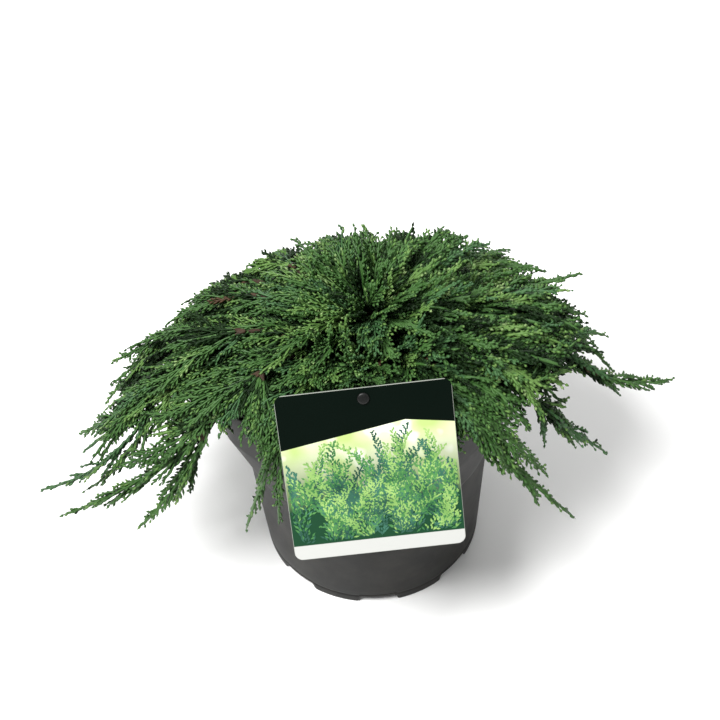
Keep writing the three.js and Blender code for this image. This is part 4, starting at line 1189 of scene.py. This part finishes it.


# Cords stand to both sides of each branchlet and a little out of its plane, shorter towards its end. The ends
# of branchlets are a lighter green, and their feet are often in the deep one, as painted shade.
def growCords(branchlets):
    room = branchlets["length"] - leaf["cordBare"]
    counts = np.maximum(0, (room / leaf["cordStep"]).astype(int))
    line, place = dealOut(counts)
    count = len(line)
    v0, v1, v2, out, length, share, green, mass = [
        branchlets[key][line] for key in ("v0", "v1", "v2", "out", "length", "share", "green", "mass")]
    jitter = sprayRandom.uniform(-leaf["cordJitter"], leaf["cordJitter"], count)
    cordShare = leaf["cordFrom"] + leaf["cordSpan"] * (place + 0.5 + jitter) / counts[line]
    start = archPoint(v0, v1, v2, cordShare[:, None])
    along = archWay(v0, v1, v2, cordShare[:, None])
    outward = unit(out - along * np.sum(along * out, 1, keepdims=True))
    sideways = np.cross(outward, along)
    cordLength = leaf["cordTaper"] * (1 - cordShare) * length + leaf["cordLeast"]
    cordLength = np.minimum(leaf["cordMost"], cordLength) * sprayRandom.uniform(*leaf["cordUneven"], count)
    tilt = sprayRandom.uniform(-leaf["cordTilt"], leaf["cordTilt"], count)
    angle = leaf["cordAngle"] * degrees * sprayRandom.uniform(*leaf["cordUneven"], count)
    away = sideways * (handOf(place) * np.cos(tilt))[:, None] + outward * np.sin(tilt)[:, None]
    way = along * np.cos(angle)[:, None] + away * np.sin(angle)[:, None]
    end = start + way * cordLength[:, None]
    # most cords of a branchlet share its luck, so its cords turn lighter towards the end, or take painted
    # shade at the foot, as one
    shared = sprayRandom.random(count) < shading["sameLuck"]
    luck = np.where(shared, sprayRandom.random(len(counts))[line], sprayRandom.random(count))
    grown = (green != deepAndShade) & (green != brown)
    towardsEnd = shading["ripeMore"] * smoothStep(*shading["ripeShare"], cordShare)
    ripe = grown & (luck < shading["ripe"] + towardsEnd * (0.5 + 0.5 * share))
    # painted shade: the deep green on cords near the foot of some branchlets
    shaded = grown & (cordShare < shading["cordShadeFoot"]) & (luck > shading["cordShadeLuck"])
    green = np.where(ripe, np.where(green == fresh, tipGreen, fresh), np.where(shaded, deepAndShade, green))
    clear = isClear(end, leaf["cordClear"])
    start, end, green, mass = start[clear], end[clear], green[clear], mass[clear]
    radius = leaf["cordRadius"] * sprayRandom.uniform(*leaf["cordThick"], len(start))
    return [(blend(start, end, leaf["ring"])[:, None], radius[:, None], start, end, green, mass)]


# The tubes of all sprays: rows of paths, radii, poles, greens and masses
def growSprays():
    samples = archPoint(*[leaders[end][:, None] for end in ("v0", "v1", "v2")], archShares)
    leaderLength = np.linalg.norm(np.diff(samples, axis=1), axis=2).sum(1)
    leaderRoll = leaf["roll"] * (sprayRandom.random(leaderCount) - 0.5)
    leaderGreen = dealGreens()
    branchlets = growBranchlets(leaderLength, leaderRoll)
    owner = branchlets["owner"]
    branchlets["green"] = dealBranchGreens(branchlets["share"], leaderGreen[owner])
    branchlets["mass"] = leaders["mass"][owner]
    least, most = leaf["skinRows"]
    skinRows = np.clip((leaderLength / leaf["skinStep"]).astype(int) // least * least, least, most)
    skins = beadedRuns(leaders, leaf["skinShare"], skinRows, (leaf["stemRadius"], leaf["stemTip"]),
                       np.where(leaderGreen == deepAndShade, mid, leaderGreen), leaders["mass"])
    axisRows = np.where(branchlets["length"] > leaf["shortAxis"], leaf["axisRows"], leaf["axisRows"] // 2)
    axes = beadedRuns(branchlets, 0.0, axisRows, (leaf["cordRadius"] * leaf["axisSwell"], leaf["cordRadius"]),
                      branchlets["green"], branchlets["mass"])
    cords = growCords(branchlets)
    print("branchlets and cords", len(owner), len(cords[0][0]))
    return skins + axes + cords


# All tubes of one green, joined into pieces that each hold a run of masses and stay under the
# limit of triangles: a tube has two triangles for each side of each ring
def buildSprays(sprays, name, number, material):
    load = np.zeros(len(masses))
    for path, _, _, _, green, mass in sprays:
        load += 2 * leaf["sides"] * path.shape[1] * np.bincount(mass[green == number], minlength=len(masses))
    pieces = math.ceil(load.sum() / leaf["pieceTriangles"])
    middle = (np.cumsum(load) - load / 2) / load.sum()
    pieceOfMass = np.minimum((middle * pieces).astype(int), pieces - 1)
    for part in range(pieces):
        made = []
        for path, radii, start, end, green, mass in sprays:
            chosen = (green == number) & (pieceOfMass[mass] == part)
            if chosen.any():
                made.append(tubes(path[chosen], radii[chosen], leaf["sides"], start[chosen], end[chosen]))
        places, faces = joinSets(made)
        piece = addMesh(f"sprays_{name}_{part + 1}", places, faces, [material])
        held = np.flatnonzero((pieceOfMass == part) & (load > 0))
        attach(piece, "root")
        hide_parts(*[masses[i]["name"] for i in held])


sprays = growSprays()
for number, (name, tint) in enumerate(greens.items()):
    buildSprays(sprays, name, number, makeFinish(
        f"scaleLeaf{name.capitalize()}", tint["first"], tint["second"], (0.42, 0.6),
        {"Scale": 60.0, "Detail": 3.0, "Low": 0.35, "High": 0.65},
        {"Scale": 1400.0, "Height": 0.0004, "Strength": 0.5}, specular=tint["gloss"]))
print("foliage built")


# Label card, its picture, and its stake

# the card's print. The strip and the header's edge are placed from the card's middle; edge is how
# softly fields meet, as a share of the card; ranges are values of noise and shares of height.
labelPrint = {
    "border": 0.35, "borderEdge": (1.15, 0.85), "strip": -50.2, "edge": 0.0015,
    "header": [(-61, 21.4), (26.6, 35.2), (61, 29.8)], "groundScale": 4.2, "ground": (0.36, 0.64),
    "spotScale": 7.5, "spots": (0.56, 0.74), "shade": (0.88, 0.46), "shadeWander": 0.3,
    "groundInks": (rgb(226, 232, 196), rgb(176, 198, 122)), "spotInk": rgb(250, 250, 238),
    "shadeInk": rgb(30, 66, 44), "headerInk": rgb(4, 13, 8), "stripInk": rgb(190, 191, 187),
    "borderInk": rgb(140, 144, 136), "gloss": (0.36, 0.5), "specular": 0.06,
}
# the printed picture's sprays: where their feet stand, how far they lean and curl, how their
# branchlets and the strokes of these stand, and how a stroke is made
picture = {
    "sprays": 96, "spraySize": (22, 50), "across": (-58, 58), "upward": (-56, -14), "lean": 0.42,
    "curl": 0.35, "branchStep": 1.7, "branchTurn": (0.35, 0.75), "branchLength": (2.5, 9),
    "uneven": (0.6, 1.1), "strokes": 4, "strokeTurn": 0.5, "strokeUneven": (0.3, 1),
    "strokeLength": 0.46, "lengthUneven": (0.8, 1.2), "inkShares": [0.5, 0.3, 0.2],
    "darkAt": (0.62, 0.42), "sideGap": 1.2, "headerGap": 1.6, "halfWidth": 0.72, "proud": 0.03,
    "lift": 0.05, "layers": 0.12, "widest": 0.45, "seed": 31,
    "depthNoise": 0.7, "depthOut": 0.6, "depthAlong": 0.25,
}
stake = {
    "width": 9, "thickness": 2.4, "foot": 120, "chamfer": 0.5, "rib": 0.5, "ribFoot": 1.2, "ribTop": 0.8,
    "narrow": (0.25, 0.7, 1, 1, 1, 0.96), "bladeRows": (6, 14, 50, 80), "endGap": 0.2,
    "headRadius": 4.2, "headThickness": 1.6, "headSink": 0.8, "headRound": 0.4, "innerRound": 0.3,
    "pegRadius": 2.6, "domeStep": (0.15, 0.9), "domeRise": 0.8,
    "domeTurns": (0.5, 0.8, 1.1, 1.35), "gap": 0.3, "sides": 64,
}


# Places on the card from its middle: across, up, and out of its printed face
def onCard(across, up, out):
    across, up, out = np.broadcast_arrays(across, up, out)
    return (card["middle"] + across[..., None] * cardRight + up[..., None] * cardUp
            + out[..., None] * cardOut)


# The card's outline at shares of its perimeter: straight sides and quarter rounds by turns,
# pulled in by the inset
def cardOutline(turns, inset):
    r = card["corner"]
    w, h = card["width"] / 2 - r, card["height"] / 2 - r
    lengths = np.array([math.pi * r / 2, 2 * w, math.pi * r / 2, 2 * h] * 2)
    ends = np.concatenate([[0], np.cumsum(lengths)])
    place = (turns % 1) * ends[-1]
    part = np.minimum(np.searchsorted(ends, place, side="right") - 1, len(lengths) - 1)
    share = (place - ends[part]) / lengths[part]
    quarter, onSide = part // 2, part % 2 == 1
    cornerX, cornerY = np.array([w, -w, -w, w])[quarter], np.array([h, h, -h, -h])[quarter]
    nextX, nextY = np.array([-w, -w, w, w])[quarter], np.array([h, -h, -h, h])[quarter]
    swing = (quarter + np.where(onSide, 1, share)) * math.pi / 2
    x = cornerX + (r - inset) * np.cos(swing)
    y = cornerY + (r - inset) * np.sin(swing)
    x = np.where(onSide, x + (nextX - cornerX) * share, x)
    y = np.where(onSide, y + (nextY - cornerY) * share, y)
    return x, y


# The plate is a skin closed in both ways: hole, printed face, rounded edge, back, hole again.
# Its UV map holds each point's place across and up the card, from 0 to 1.
def buildCard(material):
    turns = np.arange(card["columns"]) / card["columns"]
    holeUp, holeRadius = card["height"] / 2 - card["holeBelowTop"], card["holeRadius"]
    x, y = cardOutline(turns, 0)
    swing = np.arctan2(y - holeUp, x)
    holeX, holeY = holeRadius * np.cos(swing), holeUp + holeRadius * np.sin(swing)
    half, r = card["thickness"] / 2, card["edgeRound"]
    faceX, faceY = cardOutline(turns, r)
    rings = [(holeX, holeY, -half), (holeX, holeY, half)]
    rings += [(blend(holeX, faceX, share), blend(holeY, faceY, share), half) for share in card["faceRows"]]
    for t in np.linspace(0, math.pi, card["edgeRows"]):
        out = (half - r) * np.sign(np.cos(t) + 1e-9) + r * math.cos(t)
        rings.append((*cardOutline(turns, r * (1 - math.sin(t))), out))
    rings.append((blend(holeX, faceX, 0.5), blend(holeY, faceY, 0.5), -half))
    points = np.array([onCard(a, b, np.full(len(turns), c)) for a, b, c in rings])
    quads = gridQuads(len(rings), len(turns), closedRows=True)
    piece = addMesh("label_plate", points.reshape(-1, 3), [np.flip(quads, 1)], [material], smooth=False)
    flat = np.array([np.stack([a, b], -1) for a, b, _ in rings]).reshape(-1, 2)
    corner = np.empty(len(piece.data.loops), np.int32)
    piece.data.loops.foreach_get("vertex_index", corner)
    scaled = flat[corner] / [card["width"], card["height"]] + 0.5
    uv = piece.data.uv_layers.new(name="print")
    uv.data.foreach_set("uv", scaled.astype(np.float32).ravel())
    return piece


# Ink on the card: a dark header over a pale, blurred ground that darkens downwards, a bare
# white strip, and a pale border all round. All masks are lines in the card's own UV map.
def makeCardInk():
    material, tree, shader = newMaterial("cardInk")
    place = addNode(tree, "ShaderNodeUVMap", uv_map="print").outputs["UV"]
    split = addNode(tree, "ShaderNodeSeparateXYZ", place).outputs
    across, upward, edge = split["X"], split["Y"], labelPrint["edge"]

    # the height over the card of the straight line through two points of the header's edge
    def lineThrough(first, second):
        (x0, y0), (x1, y1) = [(x / card["width"] + 0.5, y / card["height"] + 0.5) for x, y in (first, second)]
        slope = (y1 - y0) / (x1 - x0)
        return calculate(tree, "MULTIPLY_ADD", across, slope, y0 - slope * x0)

    # soft noise over the card's map
    def noise(**values):
        return addNode(tree, "ShaderNodeTexNoise", Vector=place, **values).outputs["Fac"]

    # the distance to the nearer one of two opposite sides, as a share of the card
    def toNearSide(value):
        return calculate(tree, "MINIMUM", value, calculate(tree, "SUBTRACT", 1.0, value))

    headerLine = labelPrint["header"]
    headerEdge = calculate(tree, "MINIMUM", *[lineThrough(*pair) for pair in zip(headerLine, headerLine[1:])])
    header = mapRange(tree, calculate(tree, "SUBTRACT", upward, headerEdge), -edge, edge)
    stripEdge = labelPrint["strip"] / card["height"] + 0.5
    strip = mapRange(tree, upward, stripEdge + edge, stripEdge - edge)
    # how far inside the border a place is, as the least distance to the four sides
    border = labelPrint["border"] / card["width"]
    inside = calculate(tree, "MINIMUM", toNearSide(across), toNearSide(upward))
    trim = mapRange(tree, inside, *[border * share for share in labelPrint["borderEdge"]])
    ground = noise(Scale=labelPrint["groundScale"], Detail=1.5, Roughness=0.4)
    spots = mapRange(tree, noise(Scale=labelPrint["spotScale"], Detail=1.0), *labelPrint["spots"])
    wander = calculate(tree, "MULTIPLY", ground, labelPrint["shadeWander"])
    shade = mapRange(tree, calculate(tree, "ADD", upward, wander), *labelPrint["shade"])
    patches = mapRange(tree, ground, *labelPrint["ground"])
    colour = mixColours(tree, patches, *labelPrint["groundInks"])
    for mask, ink in ((spots, "spotInk"), (shade, "shadeInk"), (header, "headerInk"),
                      (strip, "stripInk"), (trim, "borderInk")):
        colour = mixColours(tree, mask, colour, labelPrint[ink])
    feed(tree, shader["Base Color"], colour)
    relief = placeGroup(tree, grainGroup, Scale=420.0, Height=0.00006, Strength=0.15)
    feed(tree, shader["Normal"], relief["Normal"])
    smear = addNode(tree, "ShaderNodeTexNoise", Vector=objectPlace(tree), Scale=30.0, Detail=4.0)
    low, high = labelPrint["gloss"]
    feed(tree, shader["Roughness"], mapRange(tree, smear.outputs["Fac"], first=low, last=high))
    feed(tree, shader["Specular IOR Level"], labelPrint["specular"])
    return material


# The header's lower edge over the card: the lower one of its two straight lines
def headerEdgeAt(across):
    (x0, y0), (x1, y1), (x2, y2) = labelPrint["header"]
    return np.minimum(y0 + (across - x0) * (y1 - y0) / (x1 - x0), y1 + (across - x1) * (y2 - y1) / (x2 - x1))


# The printed picture: flat sprays that stand up from the lower edge. Each is a curve with
# branchlets to both sides, and each branchlet a few short strokes: spindles that lie on the face.
def buildPicture(inks):
    draw = np.random.default_rng(picture["seed"])
    count, strokes = picture["sprays"], picture["strokes"]
    footX, footY = draw.uniform(*picture["across"], count), draw.uniform(*picture["upward"], count)
    footY = np.sort(footY)[::-1]
    reach = draw.uniform(*picture["spraySize"], count)
    swing, curl = draw.normal(0, picture["lean"], count), draw.normal(0, picture["curl"], count)
    branches = (reach / picture["branchStep"]).astype(int)
    spray, place = dealOut(branches)
    share = (place + 0.5) / branches[spray]
    turn = swing[spray] + curl[spray] * share
    x = footX[spray] + reach[spray] * share * np.sin(turn)
    y = footY[spray] + reach[spray] * share * np.cos(turn)
    heading = turn + handOf(place) * draw.uniform(*picture["branchTurn"], len(spray))
    least, more = picture["branchLength"]
    size = (least + more * (1 - share) * draw.uniform(*picture["uneven"], len(spray)))[:, None]
    along = np.arange(strokes) / strokes
    fromX = x[:, None] + size * along * np.sin(heading)[:, None]
    fromY = y[:, None] + size * along * np.cos(heading)[:, None]
    sway = picture["strokeTurn"] * handOf(np.arange(strokes))
    fan = heading[:, None] + sway * draw.uniform(*picture["strokeUneven"], (len(spray), strokes))
    step = picture["strokeLength"] * size * draw.uniform(*picture["lengthUneven"], fan.shape)
    toX, toY = fromX + step * np.sin(fan), fromY + step * np.cos(fan)
    sprayInk = draw.choice(len(inks), count, p=picture["inkShares"])
    # the inner strokes of a spray are printed darker than its tips
    depth = draw.random(fan.shape) * picture["depthNoise"] + picture["depthOut"] * share[:, None]
    depth = depth + picture["depthAlong"] * along
    ink = sprayInk[spray][:, None] + sum(depth < limit for limit in picture["darkAt"])
    ink = np.minimum(ink, len(inks) - 1).ravel()
    # only strokes that lie wholly on the picture's field are printed, each spray over the last
    flatX, flatY = np.stack([fromX, toX], -1).reshape(-1, 2), np.stack([fromY, toY], -1).reshape(-1, 2)
    limit = card["width"] / 2 - labelPrint["border"] - picture["sideGap"]
    fits = np.all((np.abs(flatX) < limit) & (flatY > labelPrint["strip"] + picture["sideGap"])
                  & (flatY < headerEdgeAt(flatX) - picture["headerGap"]), axis=1)
    order = np.broadcast_to(spray[:, None], fan.shape).ravel() / count
    flatX, flatY, ink, order = flatX[fits], flatY[fits], ink[fits], order[fits]
    face = card["thickness"] / 2 + picture["lift"] + picture["layers"] * order
    start, end = onCard(flatX[:, 0], flatY[:, 0], face), onCard(flatX[:, 1], flatY[:, 1], face)
    side = np.cross(unit(end - start), cardOut) * picture["halfWidth"]
    middle, lift = blend(start, end, picture["widest"]), cardOut * picture["proud"]
    places = np.stack([start, middle + side, middle + lift, middle - side, middle - lift, end], 1)
    fans = np.array([[0, 1, 2], [0, 2, 3], [0, 3, 4], [0, 4, 1], [5, 2, 1], [5, 3, 2], [5, 4, 3], [5, 1, 4]])
    faces = repeatFaces(fans, len(start), places.shape[1])
    inkOfFace = np.repeat(ink, len(fans))
    return addMesh("label_picture", places.reshape(-1, 3), [faces], inks, inkOfFace, smooth=False)


# The stake stands in the soil behind the card: a chamfered blade with a rib down its back, a
# round head behind the card, and a domed peg head in front of it
def buildStake(material):
    face = card["thickness"] / 2 + stake["gap"]
    up = card["height"] / 2 - card["holeBelowTop"]
    behind = onCard(0.0, up, -face - stake["headThickness"])
    w, t, c = stake["width"] / 2, stake["thickness"] / 2, stake["chamfer"]
    ribFoot, ribTop, ribOut = stake["ribFoot"], stake["ribTop"], t + stake["rib"]
    section = np.array([
        (w, -t + c), (w, t - c), (w - c, t), (ribFoot, t), (ribTop, ribOut), (-ribTop, ribOut),
        (-ribFoot, t), (c - w, t), (-w, t - c), (-w, c - t), (c - w, -t), (w - c, -t)])
    foot, endGap = stake["foot"], stake["endGap"]
    heights = np.array([foot + endGap, *(foot + rise for rise in stake["bladeRows"]), behind[2] - endGap])
    narrow = np.array(stake["narrow"])
    middleY = behind[1] + t
    skin = np.stack([
        behind[0] + section[None, :, 0] * narrow[:, None],
        middleY + section[None, :, 1] * np.ones(len(heights))[:, None],
        np.broadcast_to(heights[:, None], (len(heights), len(section))),
    ], -1)
    blade = closedLathe(skin, (behind[0], middleY, foot), (behind[0], middleY, behind[2]))
    # the heads and the peg between them as a profile of radius and place out of the card
    r, p = stake["headRadius"], stake["pegRadius"]
    edge, innerEdge, rise = stake["headRound"], stake["innerRound"], stake["domeRise"]
    back, front = -face - stake["headThickness"] - stake["headSink"], face + stake["headThickness"]
    profile = [(r * 0.5, back), (r - edge, back), (r, back + edge)]
    profile += [(r, -face - innerEdge), (r - innerEdge, -face), (p, -face)]
    profile += [(p, face), (r - edge, face), (r, face + edge)]
    profile += [(r - stake["domeStep"][0], front - stake["domeStep"][1])]
    profile += [(r * math.cos(s), front - rise + rise * math.sin(s)) for s in stake["domeTurns"]]
    turn = ringTurns(stake["sides"])
    rings = [onCard(a * np.cos(turn), up + a * np.sin(turn), np.full(len(turn), b)) for a, b in profile]
    peg = closedLathe(np.array(rings), onCard(0.0, up, back), onCard(0.0, up, front))
    places, faces = joinSets([blade, peg])
    return addMesh("label_peg", places, faces, [material])


cardInk = makeCardInk()
pictureInks = [
    makeFinish(name, first, second, (0.3, 0.42), {"Scale": 70.0, "Detail": 2.0},
               {"Scale": 420.0, "Height": 0.00003, "Strength": 0.1})
    for name, first, second in (
        ("inkLeafLight", rgb(104, 150, 76), rgb(150, 186, 104)),
        ("inkLeafGreen", rgb(48, 104, 56), rgb(80, 138, 72)),
        ("inkLeafBlue", rgb(24, 66, 52), rgb(52, 106, 86)),
    )
]
pegPlastic = makeFinish(
    "pegPlastic", rgb(9, 10, 9), rgb(15, 16, 15), (0.35, 0.5), {"Scale": 60.0},
    {"Scale": 900.0, "Height": 0.0001, "Strength": 0.2}, specular=0.3)
labelPlate = buildCard(cardInk)
labelPicture = buildPicture(pictureInks)
labelPeg = buildStake(pegPlastic)
for piece, slotName in ((labelPlate, "card"), (labelPicture, "card"), (labelPeg, "peg")):
    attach(piece, "root")
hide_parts("label_card")
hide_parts("label_stake")
print("label built")


# Floor, light and camera, in metres

stageSet = {"floorSize": 6.0, "floor": rgb(247, 247, 246), "world": 0.34}
view = {
    "place": (-0.0018, -0.608, 0.857), "pitch": 47.47, "roll": -3.88, "lens": 60.0, "sensor": 36.0,
}
lamps = {
    "key": {"place": (-0.8, -0.6, 1.9), "power": 68, "size": 0.9},
    "fill": {"place": (1.4, -0.8, 1.3), "power": 5, "size": 1.6},
    "rim": {"place": (0.3, 1.6, 1.5), "power": 22, "size": 1.4},
}
lampTarget = Vector((0, 0, 0.15))


# One wide square of matt white paper, at the height of the pot's foot
def buildFloor():
    half = stageSet["floorSize"] / 2 / mm
    corners = np.array([[-half, -half, 0], [half, -half, 0], [half, half, 0], [-half, half, 0]])
    material = makeFinish(
        "floorPaper", stageSet["floor"], stageSet["floor"], (0.85, 0.95), {"Scale": 3.0},
        {"Scale": 200.0, "Height": 0.0001, "Strength": 0.05}, specular=0.1)
    return addMesh("floor", corners, [np.array([[0, 1, 2, 3]])], [material], smooth=False)


# A round lamp that faces the middle of the plant
def addLamp(name, spec):
    lamp = bpy.data.lights.new(name, "AREA")
    lamp.energy = spec["power"]
    lamp.shape = "DISK"
    lamp.size = spec["size"]
    obj = bpy.data.objects.new(name, lamp)
    obj.location = spec["place"]
    obj.rotation_euler = (lampTarget - Vector(spec["place"])).to_track_quat("-Z", "Y").to_euler()
    bpy.context.scene.collection.objects.link(obj)


# The camera looks to the back and down by its pitch, and is rolled about its own line of sight
def addCamera():
    camera = bpy.data.objects.new("camera", bpy.data.cameras.new("camera"))
    camera.data.lens = view["lens"]
    camera.data.sensor_width = view["sensor"]
    pitch, roll = view["pitch"] * degrees, view["roll"] * degrees
    forward = Vector((0, math.cos(pitch), -math.sin(pitch)))
    right, up = Vector((1, 0, 0)), Vector((0, math.sin(pitch), math.cos(pitch)))
    rolledRight = right * math.cos(roll) + up * math.sin(roll)
    rolledUp = up * math.cos(roll) - right * math.sin(roll)
    turn = Matrix((rolledRight, rolledUp, -forward)).transposed()
    camera.matrix_world = Matrix.Translation(view["place"]) @ turn.to_4x4()
    bpy.context.scene.collection.objects.link(camera)
    bpy.context.scene.camera = camera


# Even white light from all round
def setWorld():
    world = bpy.data.worlds.new("studio")
    world.use_nodes = True
    background = world.node_tree.nodes["Background"].inputs
    background["Color"].default_value = (1, 1, 1, 1)
    background["Strength"].default_value = stageSet["world"]
    bpy.context.scene.world = world
    bpy.context.scene.view_settings.view_transform = "Standard"


buildFloor()
for lampName, spec in lamps.items():
    addLamp(lampName, spec)
setWorld()
addCamera()
print("stage built")
